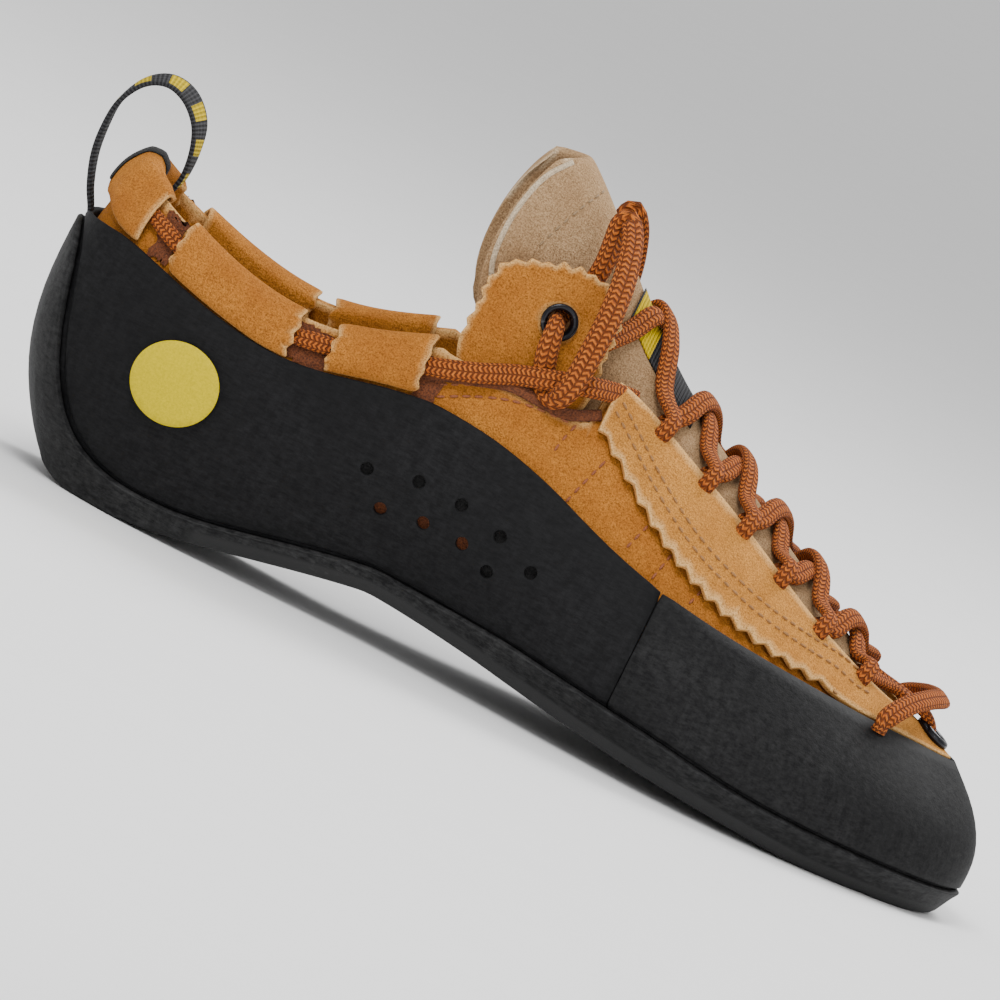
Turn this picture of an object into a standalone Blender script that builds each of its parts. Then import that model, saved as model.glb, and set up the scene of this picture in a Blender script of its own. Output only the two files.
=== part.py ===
"""A lace-up climbing shoe for the right foot, standing empty on its sole.

+X points to the toes, +Z up, and -Y to the outer side of the foot. The origin lies on the floor,
in the middle of the heel's flat spot. Every shell of the shoe is taken from one surface, the last,
which is a family of ribs that run from the foot edge of the sole up to the collar or the throat.
"""

import math

import bmesh
import bpy
import numpy as np
from mathutils import Quaternion, Vector

# Driving sizes, in metres
LENGTH = 0.2515          # heel to toe, over the rubber
BALL_WIDTH = 0.0905      # widest part of the forefoot, over the rubber
INSTEP = 0.0790          # height of the throat's rear end above the floor
WALL = 0.0020            # suede of the upper
RAND = 0.0021            # rubber band round the foot
TOE_RAND = 0.0025        # rubber band round the toes, a little thicker
RAND_REBATE = 0.0012     # what is left of the band behind the sole's side
SOLE = 0.0050            # rubber under the foot
SOLE_SIDE = 0.0016       # rubber of the sole's turned-up side
BEVEL = 0.0028           # height of the bevel round the tread
INSOLE = 0.0030          # thickness of the insole
OVERLAY = 0.0016         # suede of the eyestay
TAB = 0.0018             # suede of the eyelet tabs
TONGUE = 0.0030          # padded suede of the tongue
LABEL = 0.0009           # woven label on the tongue
TAPE = 0.0012            # binding over the heel fold
WEB_WIDTH = 0.0090       # pull loop's webbing
WEB = 0.0014
LACE_WIDTH = 0.0050      # flat oval lace
LACE = 0.0024
EYELET_HOLE = 0.0055     # inside of an eyelet
EYELET_RIM = 0.0095      # outside of an eyelet
EYELET_METAL = 0.0009    # thickness of its rolled rim
BADGE = 0.0210           # diameter of the bare disc
BADGE_THICK = 0.0006
GAP = 0.0003             # clearance between touching pieces
CURVE_GAP = 0.00055      # the same between curved shells, which keeps their facets apart
TOOTH = 0.0013           # depth of a pinked edge

# Ribs of the last. Shares: x of LENGTH, z of INSTEP, y of BALL_WIDTH. Each rib passes through the
# foot edge, a low, a middle and a top point. The outer side's y is negative, the inner side's positive.
#   station      x_foot  x_low   x_mid   x_top   z_low  z_mid  z_top
#                outer y of foot, low, mid, top;        inner y of foot, low, mid, top
RIBS = (
    ("heel back", -.0755, -.1153, -.1312, -.1054, .297, .608, .943,
     0, 0, 0, 0, 0, 0, 0, 0),
    ("heel corner", -.0517, -.0915, -.1014, -.0855, .291, .582, .899,
     -.144, -.204, -.227, -.193, .144, .204, .227, .193),
    ("heel side", .0199, .0199, .0159, .0159, .253, .532, .791,
     -.243, -.315, -.337, -.287, .243, .315, .337, .287),
    ("rear waist", .1272, .1272, .1233, .1193, .304, .544, .778,
     -.254, -.320, -.343, -.293, .232, .304, .331, .287),
    ("waist", .2584, .2505, .2386, .2266, .367, .595, .899,
     -.265, -.337, -.359, -.304, .204, .287, .331, .287),
    ("instep", .3579, .3499, .3419, .3340, .329, .608, 1.0,
     -.309, -.387, -.365, -.215, .254, .331, .343, .215),
    ("mid foot", .4453, .4414, .4374, .4294, .285, .576, .905,
     -.348, -.420, -.376, -.171, .331, .398, .376, .204),
    ("outer ball", .5328, .5288, .5249, .5169, .234, .500, .778,
     -.387, -.453, -.376, -.155, .409, .470, .420, .221),
    ("inner ball", .6322, .6282, .6203, .6083, .196, .405, .630,
     -.348, -.409, -.320, -.116, .436, .497, .436, .232),
    ("toes", .7356, .7356, .7197, .6839, .177, .348, .525,
     -.193, -.254, -.177, -.028, .392, .453, .392, .215),
    ("toe corner", .8072, .8151, .7833, .7157, .184, .342, .487,
     -.017, -.044, .011, .050, .309, .354, .298, .182),
    ("toe tip", .8310, .8429, .8091, .7296, .190, .354, .475,
     .155, .160, .144, .116, .155, .160, .144, .116),
)
HALF = len(RIBS) - 1     # stations from the heel's back to the toe tip
ROUND = 2 * HALF         # stations right round the foot
RIB_NODES = (0.0, 0.30, 0.65, 1.0)

# Tread of the sole, seen from the side. Shares: x of LENGTH, z of INSTEP.
#        x      z
TREAD = (
    (-.0955, .109), (-.0775, .051), (-.0557, .014), (-.0358, .0), (.0358, .0),
    (.0795, .030), (.1590, .086), (.2545, .142), (.3380, .122), (.4374, .081),
    (.5567, .042), (.6402, .020), (.6998, .0), (.8072, .0), (.8628, .024),
)

# Height of the sole's upper edge by station: it climbs the back of the heel. Share of INSTEP.
SOLE_EDGE = (
    (0, .703), (.3, .697), (.55, .672), (.75, .61), (.87, .54), (1, .42), (1.13, .28), (1.25, .20),
    (1.42, .148), (1.7, .115), (2, .106), (2.5, .113), (3, .152), (4, .232), (5, .230), (6, .205),
    (7, .180), (8, .138), (9, .120), (10, .112), (11, .110),
)

# Height of the rubber bands' upper edge by station. Share of INSTEP.
RAND_EDGE = (
    (0, .728), (1, .734), (2, .658), (2.5, .632), (3, .650), (3.5, .699), (4, .722), (4.5, .710),
    (5, .668), (6, .567), (7, .510), (8, .472), (9, .437), (10, .418), (11, .405),
)
RAND_SEAM = 6.52         # station where the toe band overlaps the rear one

# Pinked lower edge of the eyestay by station. Share of INSTEP.
STAY_EDGE = ((5.28, .852), (5.6, .785), (6, .703), (6.5, .620), (7, .561), (7.5, .517), (8, .489), (8.4, .471))
STAY_TEETH = 15

# The upper's edge dips between collar and throat, where the tabs stand.
DIP = (3.9, 5.2)
DIP_RAMP = .06
DIP_HEIGHT = .868        # share of INSTEP


def smooth_table(rows, where):
    """Read a table of (place, value) rows with a curve through its points that doesn't overshoot."""
    xs = np.array([row[0] for row in rows], float)
    ys = np.array([row[1] for row in rows], float)
    where = np.clip(np.asarray(where, float), xs[0], xs[-1])
    steps = np.diff(ys) / np.diff(xs)
    slopes = np.zeros(len(xs))
    slopes[0] = steps[0]
    slopes[-1] = steps[-1]
    for i in range(1, len(xs) - 1):
        if steps[i - 1] * steps[i] > 0:
            slopes[i] = 2 * steps[i - 1] * steps[i] / (steps[i - 1] + steps[i])
    cell = np.clip(np.searchsorted(xs, where) - 1, 0, len(xs) - 2)
    width = xs[cell + 1] - xs[cell]
    t = (where - xs[cell]) / width
    return (ys[cell] * (1 + 2 * t) * (1 - t) ** 2 + ys[cell + 1] * t * t * (3 - 2 * t)
            + slopes[cell] * width * t * (1 - t) ** 2 - slopes[cell + 1] * width * t * t * (1 - t))


def tread_height(x):
    """Height of the tread above the floor."""
    return smooth_table(TREAD, np.asarray(x) / LENGTH) * INSTEP


def rib_points():
    """Control points of all ribs, round the foot by the outer side, as an array [station, node, xyz]."""
    outer = []
    inner = []
    for row in RIBS:
        x = np.array(row[1:5]) * LENGTH
        foot = float(tread_height(x[0])) + SOLE + GAP * 2
        z = np.array((foot, *(share * INSTEP for share in row[5:8])))
        outer.append(np.stack((x, np.array(row[8:12]) * BALL_WIDTH, z), axis=1))
        inner.append(np.stack((x, np.array(row[12:16]) * BALL_WIDTH, z), axis=1))
    return np.array(outer + inner[-2:0:-1])


def ring_curvature(points):
    """Second derivatives of the smooth closed curves through the stations."""
    count = len(points)
    matrix = np.zeros((count, count))
    for i in range(count):
        matrix[i, i] = 4
        matrix[i, (i - 1) % count] = 1
        matrix[i, (i + 1) % count] = 1
    bend = 6 * (np.roll(points, -1, 0) - 2 * points + np.roll(points, 1, 0))
    return np.linalg.solve(matrix, bend.reshape(count, -1)).reshape(points.shape)


POINTS = rib_points()
CURVATURE = ring_curvature(POINTS)


def bare_last(s, h):
    """Point of the last at station s (0 to ROUND) and share h of the rib."""
    s = np.mod(s, ROUND)
    cell = np.floor(s).astype(int) % ROUND
    after = (cell + 1) % ROUND
    t = (s - np.floor(s))[..., None, None]
    nodes = ((1 - t) * POINTS[cell] + t * POINTS[after]
             + ((1 - t) ** 3 - (1 - t)) / 6 * CURVATURE[cell] + (t ** 3 - t) / 6 * CURVATURE[after])
    result = 0
    for i, node in enumerate(RIB_NODES):
        weight = 1
        for j, other in enumerate(RIB_NODES):
            if j != i:
                weight = weight * (h - other) / (node - other)
        result = result + weight[..., None] * nodes[..., i, :]
    return result


def last(s, h, offset=0.0):
    """Point of the last, moved outwards by an offset. Above its top edge the last goes on straight."""
    s, h, offset = np.broadcast_arrays(np.asarray(s, float), np.asarray(h, float), np.asarray(offset, float))
    on = np.clip(h, 0.0, 1.0)
    step = 0.002
    rise = (bare_last(s, np.clip(on + step, 0, 1)) - bare_last(s, np.clip(on - step, 0, 1)))
    share = np.clip(on + step, 0, 1) - np.clip(on - step, 0, 1)
    rise = rise / share[..., None]
    along = bare_last(s + step, on) - bare_last(s - step, on)
    out = np.cross(along, rise)
    out = out / np.linalg.norm(out, axis=-1, keepdims=True)
    return bare_last(s, on) + rise * (h - on)[..., None] + out * offset[..., None]


def rib_length(s):
    """Rough length of a rib, to turn a distance along it into a share."""
    ends = bare_last(np.asarray(s, float), np.zeros(np.shape(s)))
    tops = bare_last(np.asarray(s, float), np.ones(np.shape(s)))
    return np.linalg.norm(tops - ends, axis=-1) * 1.06


def share_at(s, height):
    """Share of the rib at which the last reaches a height."""
    s, height = np.broadcast_arrays(np.asarray(s, float), np.asarray(height, float))
    low = np.zeros(s.shape)
    high = np.ones(s.shape)
    for _ in range(30):
        middle = (low + high) / 2
        below = bare_last(s, middle)[..., 2] < height
        low = np.where(below, middle, low)
        high = np.where(below, high, middle)
    return (low + high) / 2


def fold_station(s):
    """Station counted from the heel on either side, for tables that both sides share."""
    s = np.mod(np.asarray(s, float), ROUND)
    return np.minimum(s, ROUND - s)


def edge_share(s, table):
    """Share of the rib at the height that a table gives for this station."""
    return share_at(s, smooth_table(table, fold_station(s)) * INSTEP)


def on_side(x, z, offset, side):
    """Point of the offset last with the given x and z, on the outer side (-1) or the inner side (+1)."""
    x, z = np.broadcast_arrays(np.asarray(x, float), np.asarray(z, float))
    stations = np.arange(1.0, HALF - 0.9, 0.5)
    signed = stations if side < 0 else ROUND - stations
    s = np.interp(x, bare_last(signed, np.full(len(signed), 0.6))[:, 0], signed)
    h = np.full(s.shape, 0.7)
    step = 1e-3
    for _ in range(8):
        here = last(s, h, offset)
        ds = (last(s + step, h, offset) - here) / step
        dh = (last(s, h + step, offset) - here) / step
        ex = x - here[..., 0]
        ez = z - here[..., 2]
        area = ds[..., 0] * dh[..., 2] - ds[..., 2] * dh[..., 0]
        s = s + (ex * dh[..., 2] - ez * dh[..., 0]) / area
        h = np.clip(h + (ez * ds[..., 0] - ex * ds[..., 2]) / area, -0.1, 1.4)
    return last(s, h, offset)


def columns():
    """Stations that all shells share, so that their facets lie parallel: closer beside the heel strip."""
    half = [0, .3, .55, .75, .85, .93, 1, 1.07, 1.15, 1.25, 1.42, 1.7]
    half += [2 + i / 2 for i in range(15)] + [9 + i / 3 for i in range(1, 7)]
    half = sorted([s for s in half if min(abs(s - dip) for dip in DIP) > .08]
                  + [DIP[0] - DIP_RAMP, DIP[0], DIP[1], DIP[1] + DIP_RAMP])
    return np.array(half + [ROUND - s for s in half[-2:0:-1]])


COLUMNS = columns()


def collection(name):
    """A collection linked to the scene."""
    group = bpy.data.collections.new(name)
    bpy.context.scene.collection.children.link(group)
    return group


for old in list(bpy.data.objects):
    bpy.data.objects.remove(old, do_unlink=True)
PARTS = collection("climbing_shoe")

# colour, roughness, metallic
FINISHES = {
    "suede": ((.52, .25, .075, 1), .95, 0),
    "suede_pale": ((.58, .31, .11, 1), .95, 0),
    "suede_beige": ((.50, .36, .22, 1), .95, 0),
    "rubber": ((.035, .035, .037, 1), .7, 0),
    "insole_felt": ((.08, .07, .065, 1), .95, 0),
    "webbing": ((.02, .02, .022, 1), .8, 0),
    "lace_cord": ((.36, .12, .045, 1), .85, 0),
    "eyelet_metal": ((.03, .03, .035, 1), .25, 1),
    "badge_yellow": ((.80, .66, .03, 1), .5, 0),
}


def material(name):
    """Principled material of one finish, made once."""
    if name in bpy.data.materials:
        return bpy.data.materials[name]
    colour, rough, metal = FINISHES[name]
    made = bpy.data.materials.new(name)
    made.use_nodes = True
    shader = made.node_tree.nodes["Principled BSDF"]
    shader.inputs["Base Color"].default_value = colour
    shader.inputs["Roughness"].default_value = rough
    shader.inputs["Metallic"].default_value = metal
    return made


def body(name, rings, finish, closed=False):
    """Solid swept through a row of closed rings, which is itself closed or has its two ends filled."""
    rings = np.asarray(rings)
    count, around = rings.shape[:2]
    verts = [tuple(point) for ring in rings for point in ring]
    faces = []
    for i in range(count if closed else count - 1):
        after = (i + 1) % count
        for j in range(around):
            near = (j + 1) % around
            faces.append((i * around + j, after * around + j, after * around + near, i * around + near))
    if not closed:
        for start in (0, (count - 1) * around):
            for j in range(around // 2 - 1):
                far = around - 1 - j
                faces.append((start + j, start + j + 1, start + far - 1, start + far))
            if around % 2:
                tip = start + around // 2
                faces.append((tip - 1, tip, tip + 1))
    return solid(name, verts, faces, finish)


def solid(name, verts, faces, finish):
    """Object from a closed mesh, welded and with its faces turned outwards."""
    mesh = bpy.data.meshes.new(name)
    mesh.from_pydata(verts, [], faces)
    form = bmesh.new()
    form.from_mesh(mesh)
    bmesh.ops.remove_doubles(form, verts=form.verts, dist=1e-5)
    bmesh.ops.recalc_face_normals(form, faces=form.faces)
    if form.calc_volume(signed=True) < 0:
        bmesh.ops.reverse_faces(form, faces=form.faces)
    form.to_mesh(mesh)
    form.free()
    mesh.materials.append(material(finish))
    mesh.shade_smooth()
    mesh.set_sharp_from_angle(angle=math.radians(40))
    made = bpy.data.objects.new(name, mesh)
    PARTS.objects.link(made)
    return made


def ring_of(outer, inner):
    """Closed ring for each section, out along the outer points and back along the inner ones."""
    return np.concatenate((outer, inner[:, ::-1]), axis=1)


def rows_between(low, high, shares):
    """Shares of a rib between two edges, one row of them for each station."""
    return low[:, None] + (high - low)[:, None] * np.asarray(shares)[None, :]


def upper_top(s):
    """Share of the rib where the upper ends: the whole rib, but less in the dips under the tabs."""
    place = fold_station(s)
    inside = np.clip((place - DIP[0]) / DIP_RAMP + 1, 0, 1) * np.clip((DIP[1] - place) / DIP_RAMP + 1, 0, 1)
    return 1 - inside * (1 - share_at(s, DIP_HEIGHT * INSTEP))


def make_upper():
    """Hollow suede shell of one wall, open at the collar, the throat and underneath."""
    s = COLUMNS
    h = rows_between(np.zeros(len(s)), upper_top(s), (0, .18, .40, .63, .85, 1))
    outside = last(s[:, None], h)
    inside = last(s[:, None], h, -WALL)
    return body("upper", ring_of(outside, inside), "suede", closed=True)


def spine(s):
    """Point of the foot's middle line that a station's sole section starts from, on the floor plan."""
    first = bare_last(s, np.zeros(len(s)))
    second = bare_last(ROUND - s, np.zeros(len(s)))
    back = POINTS[1][0][0] + SOLE
    front = POINTS[HALF - 1][0][0] - 2 * SOLE
    stations = np.linspace(1, HALF - 1, 40)
    flat = np.zeros(40)
    middle = (bare_last(stations, flat) + bare_last(ROUND - stations, flat)) / 2
    x = np.clip((first[:, 0] + second[:, 0]) / 2, back, front)
    y = np.interp(x, middle[:, 0], middle[:, 1])
    return np.stack((x, y), axis=1)


def make_outsole():
    """Sole: a tread with arch, toe spring and bevel, a turned-up side, and a strip up the heel."""
    s = COLUMNS
    foot = bare_last(s, np.zeros(len(s)))
    edge = edge_share(s, SOLE_EDGE)
    side_out = RAND_REBATE + 2 * GAP + SOLE_SIDE
    side_in = RAND_REBATE + 2 * GAP
    middle = spine(s)
    out = last(s, np.zeros(len(s)), 1.0) - foot
    out[:, 2] = 0
    out = out / np.linalg.norm(out, axis=1, keepdims=True)
    tread = foot + out * SOLE_SIDE
    tread[:, 2] = tread_height(tread[:, 0])
    bevel = foot + out * (SOLE_SIDE * 1.3 + RAND_REBATE)
    bevel[:, 2] = tread_height(bevel[:, 0]) + BEVEL * np.clip((foot[:, 0] + LENGTH * .09) / (LENGTH * .05), .3, 1)
    centre = np.column_stack((middle, tread_height(middle[:, 0])))
    sides = last(s[:, None], rows_between(np.minimum(.06, edge * .7), edge, (0, .33, .67, 1)), side_out)
    walls = last(s[:, None], rows_between(np.minimum(.035, edge * .4), edge, (1, .67, .33, 0)), side_in)
    corner = last(s, np.zeros(len(s)), side_in)
    inner_centre = np.column_stack((middle, tread_height(middle[:, 0]) + SOLE))
    path = [centre, tread, bevel, *np.moveaxis(sides, 1, 0), *np.moveaxis(walls, 1, 0),
            corner, inner_centre]
    path = np.stack(path, axis=1)
    count, around = path.shape[:2]
    verts = [tuple(point) for line in path for point in line]
    faces = []
    for i in range(count):
        after = (i + 1) % count
        for j in range(around - 1):
            faces.append((i * around + j, after * around + j, after * around + j + 1, i * around + j + 1))
    return solid("outsole", verts, faces, "rubber")


def make_insole():
    """Board inside the upper, over the sole."""
    s = COLUMNS
    zero = np.zeros(len(s))
    middle = spine(s)
    base = tread_height(middle[:, 0]) + SOLE + GAP
    centre_low = np.column_stack((middle, base))
    centre_high = centre_low + (0, 0, INSOLE)
    ease = WALL + CURVE_GAP + GAP * 6
    low = last(s, zero, -ease)
    low[:, 2] = bare_last(s, zero)[:, 2] + GAP
    high = last(s, zero + .03, -ease)
    high[:, 2] = low[:, 2] + INSOLE
    path = np.stack((centre_low, low, high, centre_high), axis=1)
    count, around = path.shape[:2]
    verts = [tuple(point) for line in path for point in line]
    faces = []
    for i in range(count):
        after = (i + 1) % count
        for j in range(around - 1):
            faces.append((i * around + j, after * around + j, after * around + j + 1, i * around + j + 1))
    return solid("insole", verts, faces, "insole_felt")


def make_band(name, s, thick):
    """Rubber band round part of the foot, thinner where the sole's side covers it."""
    beside = 4 * GAP / (LENGTH * .08)
    sole = edge_share(s, SOLE_EDGE)
    near = [smooth_table(SOLE_EDGE, np.clip(fold_station(s) + way, 0, HALF)) for way in (-beside, 0, beside)]
    edge = share_at(s, np.max(near, axis=0) * INSTEP + GAP)
    top = edge_share(s, RAND_EDGE)
    step = 2 * GAP / rib_length(s)
    foot = np.minimum(.035, sole * .4)
    behind = np.column_stack((rows_between(foot, sole, (0, .33, .67, 1)), edge))
    covered = last(s[:, None], behind, GAP + RAND_REBATE)
    shown = last(s[:, None], rows_between(edge + step, top, (0, .3, .65, 1)), thick)
    inside = last(s[:, None], rows_between(foot, top, (0, .2, .4, .6, .8, 1)), CURVE_GAP)
    outside = np.concatenate((covered, shown), axis=1)
    return body(name, ring_of(outside[:, ::-1], inside[:, ::-1]), "rubber")


def make_rear_rand():
    """Rear band, from one side of the forefoot round the heel to the other."""
    seam = RAND_SEAM
    gap = GAP * 1.6 / (LENGTH * .095)
    inner = COLUMNS[(COLUMNS < seam - .2)]
    s = np.concatenate((-inner[::-1], inner[1:]))
    s = np.concatenate(([-(seam - gap)], s, [seam - gap]))
    return make_band("rear_rand", s, RAND)


def make_toe_rand():
    """Toe band."""
    seam = RAND_SEAM
    inner = COLUMNS[(COLUMNS > seam + .2) & (COLUMNS < ROUND - seam - .2)]
    s = np.concatenate(([seam], inner, [ROUND - seam]))
    return make_band("toe_rand", s, TOE_RAND)


def make_eyestay():
    """Overlay round the throat in one U, with pinked lower edges above the rubber bands."""
    first, last_tooth = STAY_EDGE[0][0], STAY_EDGE[-1][0]
    teeth = np.linspace(first, last_tooth, 2 * STAY_TEETH + 1)
    front = np.arange(math.ceil(last_tooth * 3 + .4) / 3, HALF - .1, 1 / 3)
    half = np.concatenate((teeth, front))
    s = np.concatenate((half, [HALF], ROUND - half[::-1]))
    low = edge_share(s, STAY_EDGE)
    pinked = np.zeros(len(s))
    pinked[1:2 * STAY_TEETH:2] = 1
    pinked[-2 * STAY_TEETH:-1:2] = 1
    length = rib_length(s)
    low = low + pinked * TOOTH / length
    band = edge_share(s, RAND_EDGE) + 2 * GAP / length
    low = np.where(fold_station(s) > last_tooth, band, np.maximum(low, band))
    top = 1 + GAP / length
    h = rows_between(low, top, (0, .5, 1))
    return body("eyestay", ring_of(last(s[:, None], h, CURVE_GAP + OVERLAY), last(s[:, None], h, CURVE_GAP)),
                "suede_pale")


# Tongue above the throat. Shares: x of LENGTH, z of INSTEP, y of BALL_WIDTH.
#    crest x  crest z   edge x  edge y  edge z   turn of the section in degrees
TONGUE_ROWS = (
    (.3500, 1.247, .2306, .190, 1.038, 84),
    (.3141, 1.361, .2087, .198, 1.234, 84),
    (.2783, 1.462, .2127, .170, 1.399, 84),
    (.2485, 1.532, .2306, .094, 1.506, 84),
)
# Crest of the tongue in the throat by station. Shares: x of LENGTH, z of INSTEP.
#   station  crest x  crest z
TONGUE_THROAT = (
    (10, .7197, .470), (9.4, .7096, .524), (8.8, .6721, .590), (8, .6123, .700),
    (7.2, .5429, .823), (6.5, .4851, .925), (5.8, .4344, 1.018), (5, .3936, 1.114),
)
TONGUE_ACROSS = 9
THROAT_TURN = 58         # degrees that half a section turns in the throat
BESIDE_TABS = 5.7        # stations up to here have a tab beside the tongue
LABEL_END = 5.72         # station where the label on the tongue ends, short of the first crossing


def tongue_section(crest, outer, inner, turn, ways):
    """Points of one cross-section; a way of -1 is the outer edge, 0 the crest and 1 the inner edge."""
    points = []
    for way in ways:
        edge = outer if way < 0 else inner
        angle = abs(way) * turn
        aside = math.sin(angle) / math.sin(turn)
        fall = (1 - math.cos(angle)) / (1 - math.cos(turn))
        points.append(crest + (edge - crest) * np.array((fall, aside, fall)))
    return np.array(points)


def throat_section(station, ways):
    """Section of the tongue in the throat. Beside the tabs it keeps inside them."""
    under = -WALL - CURVE_GAP
    if station < BESIDE_TABS:
        under = under - TAB - 3 * CURVE_GAP
    outer = last(station, 1.0, under)
    inner = last(ROUND - station, 1.0, under)
    x = smooth_table([(row[0], row[1]) for row in TONGUE_THROAT[::-1]], station) * LENGTH
    z = smooth_table([(row[0], row[2]) for row in TONGUE_THROAT[::-1]], station) * INSTEP
    crest = np.array((float(x), (outer[1] + inner[1]) / 2, float(z)))
    arc = tongue_section(crest, outer, inner, math.radians(THROAT_TURN), ways)
    sides = [last(station, share, under - CURVE_GAP / 2) for share in (.86, .93)]
    far = [last(ROUND - station, share, under - CURVE_GAP / 2) for share in (.93, .86)]
    return np.concatenate((sides, arc, far))


def make_tongue():
    """Padded tongue: along the throat its sides lie under the upper, above it they wrap the shin."""
    ways = np.linspace(-1, 1, TONGUE_ACROSS)
    rows = [throat_section(row[0], ways) for row in TONGUE_THROAT]
    for crest_x, crest_z, edge_x, edge_y, edge_z, turn in TONGUE_ROWS:
        crest = np.array((crest_x * LENGTH, 0, crest_z * INSTEP))
        outer = np.array((edge_x * LENGTH, -edge_y * BALL_WIDTH, edge_z * INSTEP))
        inner = outer * (1, -1, 1) - (TONGUE * 1.6, 0, 0)
        arc = tongue_section(crest, outer, inner, math.radians(turn), ways)
        fall = (outer - crest) * (1, 0, 1) * .12
        rows.append(np.concatenate(([outer + 2 * fall, outer + fall], arc, [inner + fall, inner + 2 * fall])))
    face = np.array(rows)
    along = np.gradient(face, axis=0)
    across = np.gradient(face, axis=1)
    inward = np.cross(along, across)
    inward = inward / np.linalg.norm(inward, axis=2, keepdims=True)
    if inward[3, face.shape[1] // 2, 2] > 0:
        inward = -inward
    return body("tongue", ring_of(face, face + inward * TONGUE), "suede_beige")


def over_tongue(station, way, high):
    """Point a height above the tongue in the throat, with the direction away from the tongue."""
    step = .02
    here = throat_section(station, (way,))[2]
    there = throat_section(station, (way + step,))[2]
    ahead = throat_section(station - step * 3, (way,))[2]
    out = np.cross(there - here, ahead - here)
    out = out / np.linalg.norm(out)
    if out[2] < 0:
        out = -out
    return here + out * high, out


def make_label():
    """Bare woven label across the tongue's front."""
    half = WEB_WIDTH * .8
    rings = []
    for station in np.linspace(LABEL_END, 5, 5):
        outer, inner = [], []
        for way in (-.42, -.21, 0, .21, .42):
            low, out = over_tongue(station, way, 1.8 * CURVE_GAP)
            low[1] = np.clip(low[1], -half, half)
            outer.append(low + out * LABEL)
            inner.append(low)
        rings.append(outer + inner[::-1])
    return body("tongue_label", rings, "webbing")


# Section of a collar fold in mm: outward place and distance below the upper's edge, of its outer
# face and of its inner face, which leaves a tunnel for the lace in the outer leg
FOLD_SECTION = (
    (2.0, 15.0, .55, 15.0), (4.1, 12.0, 2.3, 11.8), (4.8, 6.5, 3.2, 6.5), (4.2, 2.2, 2.7, 2.4),
    (2.6, -1.4, 1.2, -.7), (-.9, -2.7, -.9, -.9), (-4.0, -1.7, -2.9, -.6), (-5.3, 2.2, -3.1, 2.2),
    (-4.6, 9.0, -2.9, 9.0),
)
FOLD_FOOT = 15.0         # mm that the outer leg reaches down in that section


def fold_line(s, places, tall, puff):
    """Rows of points of a fold's face: places are (outward, below) in mm, tall is the real drop at s."""
    length = rib_length(s)
    rows = []
    for outward, below in places:
        down = below / 1000
        if outward > 0 and below > 0:
            down = below / FOLD_FOOT * tall
        share = puff if outward > 0 else 1
        rows.append(last(s, 1 - down / length, outward / 1000 * share))
    return np.stack(rows, axis=1)


def make_fold(name, start, end, puff=1.0, foot=0.0):
    """Suede fold over the upper's edge, from just above the rubber band on the outside to the inside."""
    count = int(round(abs(end - start) * 4)) + 1
    s = np.linspace(start, end, count)
    tall = (1 - edge_share(s, RAND_EDGE)) * rib_length(s) - 2 * GAP
    tall = tall - foot * np.clip(2 - 2 * np.abs(s), 0, 1)
    outer = fold_line(s, [row[:2] for row in FOLD_SECTION], tall, puff)
    inner = fold_line(s, [row[2:] for row in FOLD_SECTION], tall, max(puff, .8))
    return body(name, ring_of(outer, inner), "suede")


def make_heel_tape():
    """Dark binding over the middle of the heel fold."""
    s = np.linspace(-.32, .32, 4)
    tall = (1 - edge_share(s, RAND_EDGE)) * rib_length(s) - 2 * GAP - HEEL_BARE
    places = np.array([row[:2] for row in FOLD_SECTION[1:8]])
    places[:, 0] = np.where(places[:, 0] > 0, places[:, 0] * HEEL_PUFF, places[:, 0])
    along = np.gradient(places, axis=0)
    out = np.stack((-along[:, 1], along[:, 0]), axis=1)
    out = out / np.linalg.norm(out, axis=1, keepdims=True)
    if out[0, 0] < 0:
        out = -out
    low = fold_line(s, places + out * CURVE_GAP * 1000, tall, 1)
    high = fold_line(s, places + out * (CURVE_GAP + TAPE) * 1000, tall, 1)
    return body("heel_tape", ring_of(high, low), "webbing")


def side_profile(x, z, offset, side, lean):
    """Point beside the upper's inner face that goes on almost upright above the dip of its edge."""
    bend = DIP_HEIGHT * INSTEP - 2 * GAP
    point = on_side(x, np.minimum(z, bend), offset, side)
    above = np.maximum(np.asarray(z) - bend, 0)
    point[..., 1] = point[..., 1] - side * above * lean
    point[..., 2] = z
    point[..., 0] = x
    return point


# Outline of an eyelet tab about its eyelet: direction in degrees from the toes upwards, reach in mm
TAB_OUTLINE = ((0, 14.6), (15, 14.8), (30, 15.6), (45, 15.6), (60, 14.9), (75, 14.4), (90, 14.2), (105, 14.2),
               (120, 14.3), (135, 15.5), (150, 18.0), (165, 20.0), (180, 19.6), (195, 20.0), (210, 21.8),
               (225, 24.5), (240, 25.5), (255, 24.0), (270, 23.0), (285, 23.4), (300, 23.0), (315, 20.5),
               (330, 16.4), (345, 15.0), (360, 14.6))
HEEL_PUFF = .72          # the heel fold is flatter than the others
HEEL_BARE = .0045        # bare strip above the heel's rubber, where the pull loop comes out
TAB_EYELET = (.2898, 1.083)      # its eyelet: x of LENGTH, z of INSTEP
TAB_LEAN = .05
TAB_DEPTH = WALL + 2 * CURVE_GAP
TAB_TEETH = 16


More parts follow.
